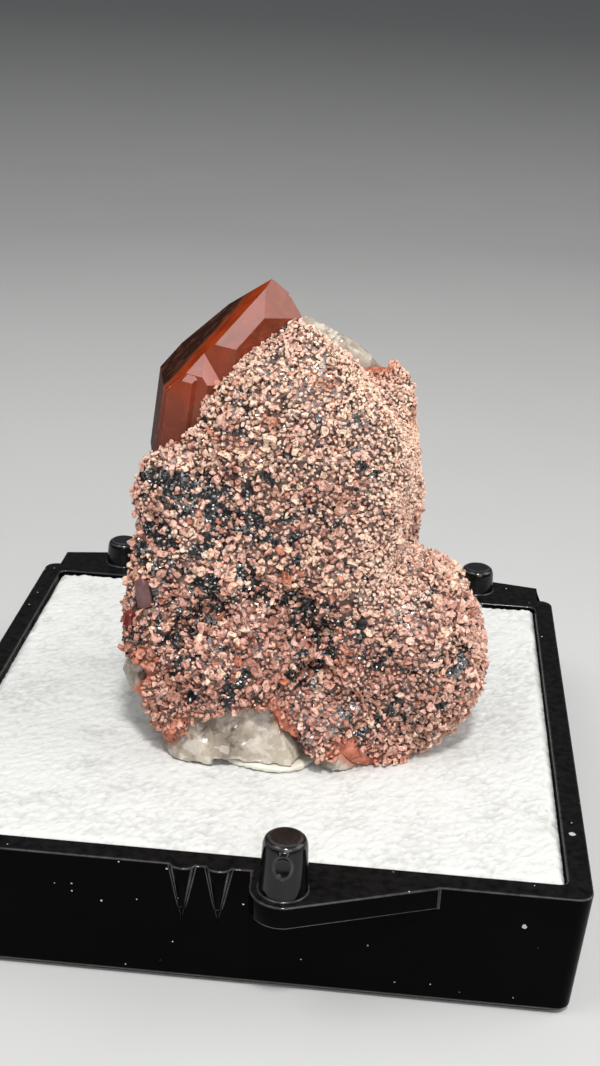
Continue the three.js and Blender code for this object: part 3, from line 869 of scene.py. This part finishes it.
def coverage(points):
    """Where the pink crust has grown, from 0 to 1: patches with bare black ground between."""
    drift = 0.14 * noise(points, 1.7, 71) + 0.30 * noise(points, 0.8, 72)
    drift += 0.42 * noise(points, 0.42, 74)
    dark = np.maximum(patch_strength(points, DARK_PATCHES), 1.2 * patch_strength(points, CLEFTS))
    pale = patch_strength(points, PALE_PATCHES)
    left = smooth_step(2.5, -4.5, points[:, 0]) * smooth_step(13.0, 16.0, points[:, 2])
    level = 0.65 + drift - 0.34 * dark - 0.09 * left + 0.5 * pale
    level += 0.1 * smooth_step(24.0, 27.0, points[:, 2])
    return smooth_step(0.38, 0.52, level)


def paleness(points):
    """How creamy the grains are, from 0 to 1: most on the right and towards the top."""
    side = smooth_step(3.0, 8.0, points[:, 0] + 0.45 * (points[:, 1] + 4))
    upper = smooth_step(19.0, 27.0, points[:, 2])
    level = patch_strength(points, PALE_PATCHES) + 0.35 * side + 0.35 * upper
    return np.clip(level + 0.2 * noise(points, 1.2, 75), 0, 1)


def fineness(points):
    """0 where the grains are coarsest (below and on the lobe), 1 where finest."""
    upper = smooth_step(16.0, 25.0, points[:, 2])
    right = smooth_step(4.0, 7.5, points[:, 0] + 0.3 * (points[:, 1] + 4))
    right *= smooth_step(14.5, 16.5, points[:, 2])
    behind = smooth_step(-1.0, 2.5, points[:, 1])
    pale = patch_strength(points, PALE_PATCHES)
    level = 0.55 * upper + 0.45 * right + 0.4 * behind + 0.7 * pale
    return np.clip(level + 0.25 * noise(points, 1.6, 76), 0, 1)


def rustiness(points, to_quartz):
    """How rusty the grains are, from 0 to 1: beside the quartz, at the foot and in spots."""
    band = 1 - smooth_step(0.4, 1.35, to_quartz + 0.2 * noise(points, 0.6, 77))
    above = points[:, 2] - FOAM_TOP + 0.5 * noise(points, 1.4, 78)
    foot = 1 - smooth_step(0.3, 1.2, above)
    spots = patch_strength(points, RUST_PATCHES)
    return np.clip(np.max([band, 0.6 * foot, spots], axis=0), 0, 1)


class SPECIMEN_OT_crust(bpy.types.Operator):
    """Make the black hematite ground of the crust, with its rusty broken edge"""

    bl_idname = "specimen.crust"
    bl_label = "Crust ground"

    def execute(self, context):
        own = looks().crust
        crust = Crust.get()
        mesh = mesh_from("crust_ground", crust.points, crust.faces)
        shade_smooth(mesh, False)
        wide = broken_edge(crust.points)
        away = crust.to_quartz + 0.12 * noise(crust.points, 0.4, 79)
        rust = 1 - smooth_step(wide - 0.05, wide + 0.25, away)
        above = crust.points[:, 2] - FOAM_TOP + 0.3 * noise(crust.points, 1.1, 80)
        foot = 1 - smooth_step(0.2, 0.8, above)
        set_values(mesh, "rust", np.clip(np.maximum(rust, 0.8 * foot), 0, 1))
        set_values(mesh, "pink", coverage(crust.points))
        made, build, shader = new_material("Black hematite", IOR=1.9)
        rusty = build.attribute("rust")
        chip, _ = build.cells(8000.0)
        black = build.ramp(
            chip,
            (0.0, [c * 0.35 for c in own.ground]),
            (0.55, own.ground),
            (0.85, (0.05, 0.05, 0.053)),
            (0.98, (0.45, 0.44, 0.44)),
        )
        patchy = build.ramp(build.noise(3300.0, 3.0), (0.3, 0.55), (0.6, 1.0))
        grown = build.times(build.attribute("pink"), patchy)
        lumps = build.noise(2500.0, 4.0)
        crumbs = build.ramp(lumps, (0.38, (0.035, 0.017, 0.014)), (0.68, (0.30, 0.135, 0.095)))
        dusted = build.mix(grown, black, crumbs)
        tone = build.ramp(
            build.noise(2100.0, 4.0),
            (0.3, [c * 0.4 for c in own.rust]),
            (0.55, own.rust),
            (0.75, (0.66, 0.27, 0.16)),
        )
        join(build, shader, Base_Color=build.mix(rusty, dusted, tone))
        dull = build.ramp(chip, (0.2, 0.22), (0.9, 0.5))
        join(build, shader, Roughness=build.math("ADD", dull, build.times(rusty, 0.25), True))
        bare = build.math("SUBTRACT", 1.0, build.math("MAXIMUM", rusty, grown))
        metal = build.times(bare, build.ramp(chip, (0.3, 0.2), (0.8, 0.85)))
        join(build, shader, Metallic=metal, Normal=build.bump(chip, 0.7, 0.05))
        add_piece("crust_ground", mesh, made, ["crusted_matrix"])
        return {"FINISHED"}


def grain_material(name):
    own = looks().crust
    made, build, shader = new_material(
        name, IOR=1.5, Subsurface_Weight=0.12, Subsurface_Scale=0.00025
    )
    grain = build.group("Grain colour", Pink=(*own.pink, 1), Tip=(*own.tip, 1))
    fine = build.bump(build.noise(6500.0, 3.0), 0.4, 0.04)
    join(build, shader, Base_Color=grain[0], Roughness=grain[1], Normal=fine)
    return made


class SPECIMEN_OT_grains(bpy.types.Operator):
    """Stand the pink grains on the crust: coarse crumbs with hollow tips, and fine ones between"""

    bl_idname = "specimen.grains"
    bl_label = "Crust grains"

    def execute(self, context):
        own = looks().crust
        crust = Crust.get()
        open_faces = crust.open_faces()
        material = grain_material("Pink crust grains")
        spacing = own.grain / MM

        def coarse_gap(p):
            return spacing * (1.25 - 0.6 * fineness(p))

        def cover(p):
            _, far = nearest(p, [crust.quartz], 1.2)
            bare = far + 0.12 * noise(p, 0.5, 83) < broken_edge(p)
            return (0.015 + 0.985 * coverage(p)) * np.where(bare, 0.0, 1.0)

        face, at = spread_over(crust.points, open_faces, coarse_gap, 11, cover)
        order = np.array_split(np.argsort(at[:, 2]), 3)
        for name, part in zip(("grains_lower", "grains_middle", "grains_upper"), order):
            radius = coarse_gap(at[part]) * 0.6
            self.stand(name, crust, open_faces[face[part]], at[part], 2, radius, 0.62, material)
        fine_gap = own.fine / MM

        def fine_cover(p):
            return 0.75 * cover(p) + 0.03

        face, at = spread_over(crust.points, open_faces, constant(fine_gap), 12, fine_cover)
        rng = np.random.default_rng(13)
        face, at = at_most(MOST_FINE_GRAINS, rng, face, at)
        radius = np.full(len(at), fine_gap * 0.55)
        self.stand("grains_fine", crust, open_faces[face], at, 1, radius, 0.3, material)
        return {"FINISHED"}

    def stand(self, name, crust, faces, at, divisions, radius, lift, material):
        """One grain at each place: a ball cut by planes, the coarse ones with a hollow tip.

        faces has the crust's face under each grain, and lift its height as a share of radius."""
        rng = np.random.default_rng(len(name) * 7 + divisions)
        template, ball = ball_template(divisions)
        count, size = len(at), len(template)
        normals = crust.normals[faces].mean(axis=1)
        normals += 0.35 * rng.normal(size=normals.shape)
        normals = unit(normals)
        axes = frames_on(normals, rng)
        shapes = np.repeat(template[None], count, axis=0)
        for _ in range(7 if divisions > 1 else 3):
            cut = unit(rng.normal(size=(count, 3)))
            over = np.einsum("vj,gj->gv", template, cut) - rng.uniform(0.28, 0.78, (count, 1))
            shapes -= np.maximum(over, 0)[:, :, None] * cut[:, None, :]
        stretch = rng.uniform(0.7, 1.45, (count, 1, 3))
        lumps = 1 + 0.15 * rng.uniform(-1, 1, (count, size, 1))
        scale = np.exp(rng.normal(0, 0.22, (count, 1, 1)))
        shapes = shapes * stretch * lumps * radius[:, None, None] * scale
        # Height of each point on its grain, for the painted highlight at the top and the painted shade
        # below
        painted_light_rise = np.tile(np.clip(0.5 + 0.5 * template[:, 2], 0, 1), (count, 1))
        if divisions > 1:
            tilt = unit(rng.normal(size=(count, 3)) * 0.35 + np.array([0, 0, 1.0]))
            facing = np.einsum("vj,gj->gv", template, tilt)
            cup = np.where(rng.random(count) < 0.55, rng.uniform(0.45, 0.9, count), 0.05)[:, None]
            sunk = smooth_step(0.66, 0.9, facing) * cup
            shapes = shapes * (1 - sunk)[:, :, None]
            # Sunk tips are marked low too, for painted shade in the hollow
            painted_light_rise = np.clip(painted_light_rise * (1 - 0.95 * sunk), 0, 1)
        places = at + normals * (radius * lift)[:, None]
        points, joined = scattered(ball, places, axes, shapes)
        points[:, 2] = np.maximum(points[:, 2], FOOT)
        mesh = mesh_from(name, points, joined)
        shade_smooth(mesh, False)
        _, to_quartz = nearest(at, [crust.quartz], 1.4)
        # Grains low on the rock are darker and redder and high ones paler: partly deeper colour, partly
        # painted shade from light falling from above
        low = smooth_step(18.0, 12.0, at[:, 2])
        high = smooth_step(19.0, 25.0, at[:, 2])
        tone = 0.52 - 0.27 * low + 0.25 * high + 0.3 * rng.normal(size=count)
        tone = np.clip(tone + 0.35 * noise(at, 1.1, 81), 0, 1)
        single = np.where(rng.random(count) < 0.035, 0.8, 0.0)
        rust = np.maximum(0.8 * rustiness(at, to_quartz), single)
        set_values(mesh, "painted_light_rise", painted_light_rise.ravel())
        for key, values in (("tone", tone), ("pale", paleness(at)), ("rust", rust)):
            set_values(mesh, key, np.repeat(values, size))
        add_piece(name, mesh, material)


class SPECIMEN_OT_plates(bpy.types.Operator):
    """Strew thin glittering hematite plates over the dark ground"""

    bl_idname = "specimen.plates"
    bl_label = "Hematite plates"

    def execute(self, context):
        own = looks().crust
        crust = Crust.get()
        open_faces = crust.open_faces()

        def chance(p):
            _, far = nearest(p, [crust.quartz], 1.2)
            bare = np.where(far < broken_edge(p), 0.0, 1.0)
            return bare * (1 - 0.93 * coverage(p))

        gap = constant(own.plate / MM)
        face, at = spread_over(crust.points, open_faces, gap, 21, chance)
        rng = np.random.default_rng(22)
        face, at = at_most(MOST_PLATES, rng, face, at)
        turn = np.arange(4) * math.pi / 2
        ring = np.stack([np.cos(turn), np.sin(turn), 0 * turn], axis=1)
        template = np.concatenate([ring, [[0, 0, 0.22], [0, 0, -0.22]]])
        plate = [(side, (side + 1) % 4, 4) for side in range(4)]
        plate = np.array(plate + [((side + 1) % 4, side, 5) for side in range(4)])
        count = len(at)
        normals = crust.normals[open_faces[face]].mean(axis=1)
        lean = unit(normals + 0.9 * rng.normal(size=normals.shape))
        size = rng.uniform(0.045, 0.12, (count, 1, 1)) * np.array([1.0, 0.75, 1.0])
        places = at + normals * rng.uniform(0.0, 0.07, (count, 1))
        points, faces = scattered(plate, places, frames_on(lean, rng), template[None] * size)
        points[:, 2] = np.maximum(points[:, 2], FOOT)
        mesh = mesh_from("hematite_plates", points, faces)
        shade_smooth(mesh, False)
        set_values(mesh, "tone", np.repeat(rng.random(count), len(template)))
        made, build, shader = new_material("Hematite plates", Metallic=0.9)
        colour = build.ramp(
            build.attribute("tone"),
            (0.0, (0.02, 0.02, 0.022)),
            (0.5, (0.06, 0.06, 0.063)),
            (0.68, (0.6, 0.59, 0.58)),
            (1.0, (0.92, 0.91, 0.9)),
        )
        smudge = build.ramp(build.noise(5000.0, 3.0), (0.4, 0.55), (0.6, 1.0))
        join(build, shader, Base_Color=build.mix(1.0, colour, smudge, "MULTIPLY"))
        join(build, shader, Roughness=build.ramp(build.noise(4200.0, 3.0), (0.35, 0.22), (0.7, 0.5)))
        add_piece("hematite_plates", mesh, made)
        return {"FINISHED"}


class SPECIMEN_OT_quartz(bpy.types.Operator):
    """Make the bare milky quartz with its broken, stepped faces"""

    bl_idname = "specimen.quartz"
    bl_label = "Milky quartz"

    def execute(self, context):
        own = looks().quartz
        points, faces, normals = remeshed("milky_quartz", QUARTZ_VOXEL)
        crystals = surface_of("hematoid_quartz_crystals")
        _, away = nearest(points, [crystals], 1.4)
        points = evened(points, faces, 0.6 * smooth_step(1.3, 0.6, away), 10)
        beside, away = nearest(points, [crystals], 0.9)
        pull = smooth_step(0.85, 0.5, away) * (1 - NEAR_GAP / np.maximum(away, NEAR_GAP))
        points += (beside - points) * pull[:, None]
        _, far = nearest(points, [surface_of("crusted_matrix"), crystals], 1.0)
        shell = 0.10 * broken(points, 1.3, 101) + 0.075 * broken(points, 0.55, 121)
        shell += 0.02 * noise(points, 0.3, 103)
        relief = (shell - 0.04) * smooth_step(0.25, 0.6, far)
        points += normals * relief[:, None]
        pressed_out(points)
        points[:, 2] = np.maximum(points[:, 2], FOOT)
        mesh = mesh_from("quartz_body", points, faces)
        shade_smooth(mesh)
        mesh.set_sharp_from_angle(angle=math.radians(32))
        low = smooth_step(13.0, 10.5, points[:, 2])
        seam = 1 - smooth_step(0.24, 0.5, far + 0.1 * noise(points, 0.5, 104))
        set_values(mesh, "rust", low * seam)
        made, build, shader = new_material(
            "Milky quartz",
            IOR=1.54,
            Transmission_Weight=0.18,
            Subsurface_Weight=0.3,
            Subsurface_Scale=0.0008,
        )
        shader.inputs["Subsurface Radius"].default_value = (1.0, 0.9, 0.8)
        haze = build.group("Clouds", Scale=420.0, Edge=0.14, Middle=0.47)
        veil = build.group("Clouds", Scale=1300.0, Edge=0.06, Middle=0.62)
        body = build.mix(haze[0], own.clear, own.cloud)
        block, _ = build.cells(1700.0, distance="CHEBYCHEV")
        body = build.mix(build.ramp(block, (0.5, 0.0), (0.8, 0.5)), body, (0.78, 0.72, 0.64))
        body = build.mix(build.times(veil[0], 0.6), body, (0.82, 0.78, 0.72))
        inputs = {"Vector": build.place(), "Scale": 330.0}
        crack = build.add("ShaderNodeTexVoronoi", inputs, feature="DISTANCE_TO_EDGE")
        line = build.ramp(crack.outputs["Distance"], (0.0, 1.0), (0.03, 0.0))
        body = build.mix(build.times(line, 0.2), body, (0.16, 0.10, 0.075))
        edge = build.times(build.attribute("rust"), 0.8)
        body = build.mix(edge, body, (0.50, 0.15, 0.07))
        rough = build.ramp(build.noise(900.0, 4.0), (0.35, 0.08), (0.7, 0.34))
        join(build, shader, Base_Color=body, Roughness=rough)
        join(build, shader, Normal=build.bump(haze[1], 0.35, 0.06))
        add_piece("quartz_body", mesh, made, ["milky_quartz"])
        return {"FINISHED"}


# The red crystals


def crystal_mesh(node, width, longest):
    """Bevelled crystal with flat faces, cut finely enough to carry the painted light and shade."""
    mesh = bevelled(node, width, 1)
    work = bmesh.new()
    work.from_mesh(mesh)
    for _ in range(6):
        long_edges = [e for e in work.edges if e.calc_length() > longest * MM]
        if not long_edges:
            break
        bmesh.ops.subdivide_edges(work, edges=long_edges, cuts=1)
        bmesh.ops.triangulate(work, faces=work.faces)
    work.to_mesh(mesh)
    work.free()
    return mesh


class SPECIMEN_OT_red_crystals(bpy.types.Operator):
    """Make the large red crystals with painted light and shade: a glow where light comes through, dark
    where it is blocked
    """

    bl_idname = "specimen.red_crystals"
    bl_label = "Red crystals"

    def execute(self, context):
        own = looks().crystal
        mesh = crystal_mesh("hematoid_quartz_crystals", own.edge, 0.3)
        shade_smooth(mesh, False)
        points, faces, normals = arrays_of(mesh)
        self.zones(mesh, points, normals)
        facing = mesh_normals(mesh)
        right_end = np.array(RIGHT_END)
        outmost = (points @ right_end).max()
        inner = points[faces].mean(axis=1) @ right_end < outmost - 0.8
        inner &= facing @ right_end > 0.97
        shaded = (facing @ np.array([-0.95, -0.16, 0.27]) > 0.7) | inner
        # The inner end facets are marked for a painted pink sheen in place of a reflection of the light
        haze = np.zeros(len(points))
        haze[faces[inner].ravel()] = 1.0
        set_values(mesh, "haze", haze)
        node = "hematoid_quartz_crystals"
        add_piece("red_crystals", mesh, self.finish("Red quartz", 0.38), [node])
        mesh.materials.append(self.finish("Red quartz, shaded side", 0.0))
        mesh.polygons.foreach_set("material_index", shaded.astype(np.int32))
        return {"FINISHED"}

    def finish(self, name, gloss):
        own = looks().crystal
        made, build, shader = new_material(
            name, IOR=1.54, Transmission_Weight=0.12, Specular_IOR_Level=gloss
        )
        glow, dark = build.attribute("glow"), build.attribute("dark")
        clouds = build.group("Clouds", Scale=640.0, Edge=0.12, Middle=0.5)
        wisps = build.group("Clouds", Scale=1500.0, Edge=0.08, Middle=0.6)
        body = build.mix(build.times(clouds[0], 0.6), own.red, (0.13, 0.036, 0.016))
        body = build.mix(build.times(wisps[0], 0.3), body, (0.34, 0.10, 0.05))
        # Painted light coming through the crystal (glow) in upright streaks, then painted shade (dark)
        upright = build.noise(900.0, 4.0, place=build.stretched(1.0, 1.0, 0.3))
        streaks = build.ramp(upright, (0.35, 0.0), (0.62, 1.0))
        lit = build.mix(streaks, [c * 0.5 for c in own.glow], own.glow)
        body = build.mix(glow, body, lit)
        marks = build.mix(build.times(wisps[0], 0.45), own.dark, (0.16, 0.055, 0.025))
        body = build.mix(dark, body, marks)
        specks = build.group("Dust specks", Spacing=1500.0, Amount=0.05)[0]
        body = build.mix(build.times(specks, 0.6), body, (0.55, 0.42, 0.36))
        worn_and_lit, haze = build.attribute("worn_and_lit"), build.attribute("haze")
        # Paler rounded edges: edge wear and painted highlight
        body = build.mix(build.times(worn_and_lit, 0.3), body, (0.62, 0.27, 0.20))
        # Painted pink sheen on the inner end facets
        body = build.mix(build.times(haze, 0.85), body, (0.50, 0.235, 0.205))
        join(build, shader, Base_Color=body)
        lines = build.noise(700.0, 3.0, place=build.stretched(0.35, 0.35, 5.0))
        rough = build.ramp(build.noise(700.0, 4.0), (0.4, 0.03), (0.75, 0.16))
        height = build.math("ADD", build.times(lines, 0.6), build.times(clouds[1], 0.3))
        join(build, shader, Roughness=rough, Normal=build.bump(height, 0.12, 0.03))
        return made

    def zones(self, mesh, points, normals):
        """Painted light and shade: a glow of light coming through beside the long bright face, painted
        shade away from it and towards the crystal's far left side.
        """
        tip = np.array([-0.92, -0.9, 29.4])
        along = np.array([-3.11, -2.84, 26.83]) - tip
        along /= np.linalg.norm(along)
        away = points - tip
        away -= (away @ along)[:, None] * along
        far = np.linalg.norm(away, axis=1)

        def faces(normal):
            return smooth_step(0.9, 0.98, normals @ (np.array(normal) / np.linalg.norm(normal)))

        on_long = faces((-0.720, -0.106, 0.686))
        on_left = smooth_step(0.75, 0.95, normals @ np.array([-0.979, -0.204, 0.0]))
        on_ends = np.maximum(faces(RIGHT_END), faces((-0.204, -0.698, 0.687)))
        on_rest = (1 - on_long) * (1 - on_ends)
        wavy = 0.3 * noise(points, 0.9, 111) + 0.12 * noise(points, 0.3, 113)
        left = smooth_step(-2.6, -4.4, points[:, 0])
        band = on_long * smooth_step(2.3, 1.5, far + wavy) * (0.75 + 0.25 * smooth_step(0.1, 0.7, far))
        lower = on_rest * smooth_step(1.7, 0.1, far + wavy) * (0.16 + 0.5 * left)
        # Painted shade away from the bright face, on the left side and towards the back; darker towards
        # the bottom too
        dark = [
            on_long * smooth_step(1.9, 2.7, far + wavy),
            0.8 * on_left,
            0.42 * on_rest * smooth_step(24.6, 22.4, points[:, 2]),
            0.75 * smooth_step(-0.5, 1.2, points[:, 1]) * (1 - on_long),
        ]
        set_values(mesh, "glow", np.clip(band + lower, 0, 1))
        set_values(mesh, "dark", np.clip(np.max(dark, axis=0), 0, 1))


class SPECIMEN_OT_side_crystals(bpy.types.Operator):
    """Make the two small crystals at the left edge"""

    bl_idname = "specimen.side_crystals"
    bl_label = "Small side crystals"

    def execute(self, context):
        own = looks().crystal
        tones = {
            "side_crystal_upper": ((0.115, 0.045, 0.045), (0.20, 0.10, 0.10), 0.28, 0.1),
            "side_crystal_lower": ((0.14, 0.012, 0.010), (0.32, 0.05, 0.03), 0.08, 0.4),
        }
        for node, (deep, pale, rough, clear) in tones.items():
            mesh = crystal_mesh(node, own.edge * 1.6, 0.2)
            shade_smooth(mesh, False)
            made, build, shader = new_material(
                node + "_finish", IOR=1.54, Transmission_Weight=clear, Coat_Weight=0.4
            )
            soft = build.group("Clouds", Scale=900.0, Edge=0.2, Middle=0.5)
            colour = build.mix(soft[0], (*deep, 1), (*pale, 1))
            join(build, shader, Base_Color=colour, Normal=build.bump(soft[1], 0.2, 0.03))
            spots = build.noise(2000.0, 3.0)
            join(build, shader, Roughness=build.ramp(spots, (0.4, rough), (0.7, rough + 0.2)))
            add_piece(node + "_dressed", mesh, made, [node])
        return {"FINISHED"}


# Floor, light and camera


def soft_light(name, direction, distance, width, power, colour):
    """Square area light that looks at the specimen from a direction."""
    data = bpy.data.lights.new(name, "AREA")
    data.shape = "RECTANGLE"
    data.size = data.size_y = width
    data.energy = power * looks().stage.power
    data.color = colour
    light = bpy.data.objects.new(name, data)
    bpy.context.scene.collection.objects.link(light)
    towards = Vector(direction).normalized()
    light.location = Vector(LIT_POINT) + towards * distance
    light.rotation_euler = towards.to_track_quat("Z", "Y").to_euler()


class SPECIMEN_OT_stage(bpy.types.Operator):
    """Lay the pale floor and set the soft lights and the camera"""

    bl_idname = "specimen.stage"
    bl_label = "Floor, light and camera"

    def execute(self, context):
        own = looks().stage
        scene = context.scene
        square = np.array([[-1, -1, 0], [1, -1, 0], [1, 1, 0], [-1, 1, 0]])
        corners = square * FLOOR_REACH / MM
        mesh = mesh_from("floor", corners, np.array([[0, 1, 2], [0, 2, 3]]))
        floor = bpy.data.objects.new("floor", mesh)
        scene.collection.objects.link(floor)
        made, build, shader = new_material("Pale floor", Roughness=0.7)
        duller = [c * 0.97 for c in own.floor]
        tone = build.ramp(build.noise(40.0, 3.0), (0.3, duller), (0.7, own.floor))
        # Painted pool of light: the floor's colour darkens away from the middle
        away = build.add("ShaderNodeVectorMath", {0: build.place()}, operation="LENGTH")
        shade = build.ramp(away.outputs["Value"], (0.03, 1.0), (0.16, 0.62), (0.6, 0.42))
        join(build, shader, Base_Color=build.mix(1.0, tone, shade, "MULTIPLY"))
        mesh.materials.append(made)

        world = bpy.data.worlds.new("Studio")
        world.use_nodes = True
        background = world.node_tree.nodes["Background"]
        sky = Nodes(world.node_tree)
        direction = sky.add("ShaderNodeTexCoord").outputs["Generated"]
        upward = sky.add("ShaderNodeSeparateXYZ", {0: direction}).outputs[2]
        tone = sky.ramp(
            upward,
            (0.0, (0.10, 0.105, 0.11)),
            (0.35, (0.16, 0.165, 0.175)),
            (1.0, (0.55, 0.56, 0.58)),
        )
        sky.fill(background.inputs["Color"], tone)
        sky.fill(background.inputs["Strength"], 0.8)
        scene.world = world
        for light in LIGHTS:
            soft_light(*light)
        scene.view_settings.view_transform = "Standard"

        data = bpy.data.cameras.new("Camera")
        data.sensor_width = CAMERA_SENSOR
        data.lens = CAMERA_LENS
        data.clip_start = 0.005
        data.clip_end = 10
        camera = bpy.data.objects.new("Camera", data)
        scene.collection.objects.link(camera)
        axes = (Vector(CAMERA_RIGHT), Vector(CAMERA_UP), -Vector(CAMERA_FORWARD))
        turn = Matrix(axes).transposed().to_4x4()
        camera.matrix_world = Matrix.Translation(CAMERA_PLACE) @ turn
        scene.camera = camera
        return {"FINISHED"}


class SPECIMEN_PT_panel(bpy.types.Panel):
    """Lists the pieces of the specimen"""

    bl_idname = "SPECIMEN_PT_panel"
    bl_label = "Specimen"
    bl_space_type = "VIEW_3D"
    bl_region_type = "UI"
    bl_category = "Specimen"

    def draw(self, context):
        for operator in OPERATORS:
            self.layout.operator(operator.bl_idname)
        for part in ("box", "foam", "crust", "quartz", "crystal", "stage"):
            group = getattr(looks(), part)
            section = self.layout.box()
            section.label(text=part.capitalize())
            for key in group.bl_rna.properties.keys():
                if key not in ("rna_type", "name"):
                    section.prop(group, key)


OPERATORS = [
    SPECIMEN_OT_box,
    SPECIMEN_OT_foam,
    SPECIMEN_OT_putty,
    SPECIMEN_OT_crust,
    SPECIMEN_OT_grains,
    SPECIMEN_OT_plates,
    SPECIMEN_OT_quartz,
    SPECIMEN_OT_red_crystals,
    SPECIMEN_OT_side_crystals,
    SPECIMEN_OT_stage,
]
GROUPS = [BoxLooks, FoamLooks, CrustLooks, QuartzLooks, CrystalLooks, StageLooks, SpecimenLooks]


def register():
    for cls in (*GROUPS, *OPERATORS, SPECIMEN_PT_panel):
        bpy.utils.register_class(cls)
    bpy.types.Scene.specimen_looks = PointerProperty(type=SpecimenLooks)


def unregister():
    del bpy.types.Scene.specimen_looks
    for cls in reversed((*GROUPS, *OPERATORS, SPECIMEN_PT_panel)):
        bpy.utils.unregister_class(cls)


def main():
    register()
    make_groups()
    bpy.ops.specimen.box()
    bpy.ops.specimen.foam()
    bpy.ops.specimen.putty()
    bpy.ops.specimen.crust()
    bpy.ops.specimen.grains()
    bpy.ops.specimen.plates()
    bpy.ops.specimen.quartz()
    bpy.ops.specimen.red_crystals()
    bpy.ops.specimen.side_crystals()
    bpy.ops.specimen.stage()


if __name__ == "__main__":
    main()
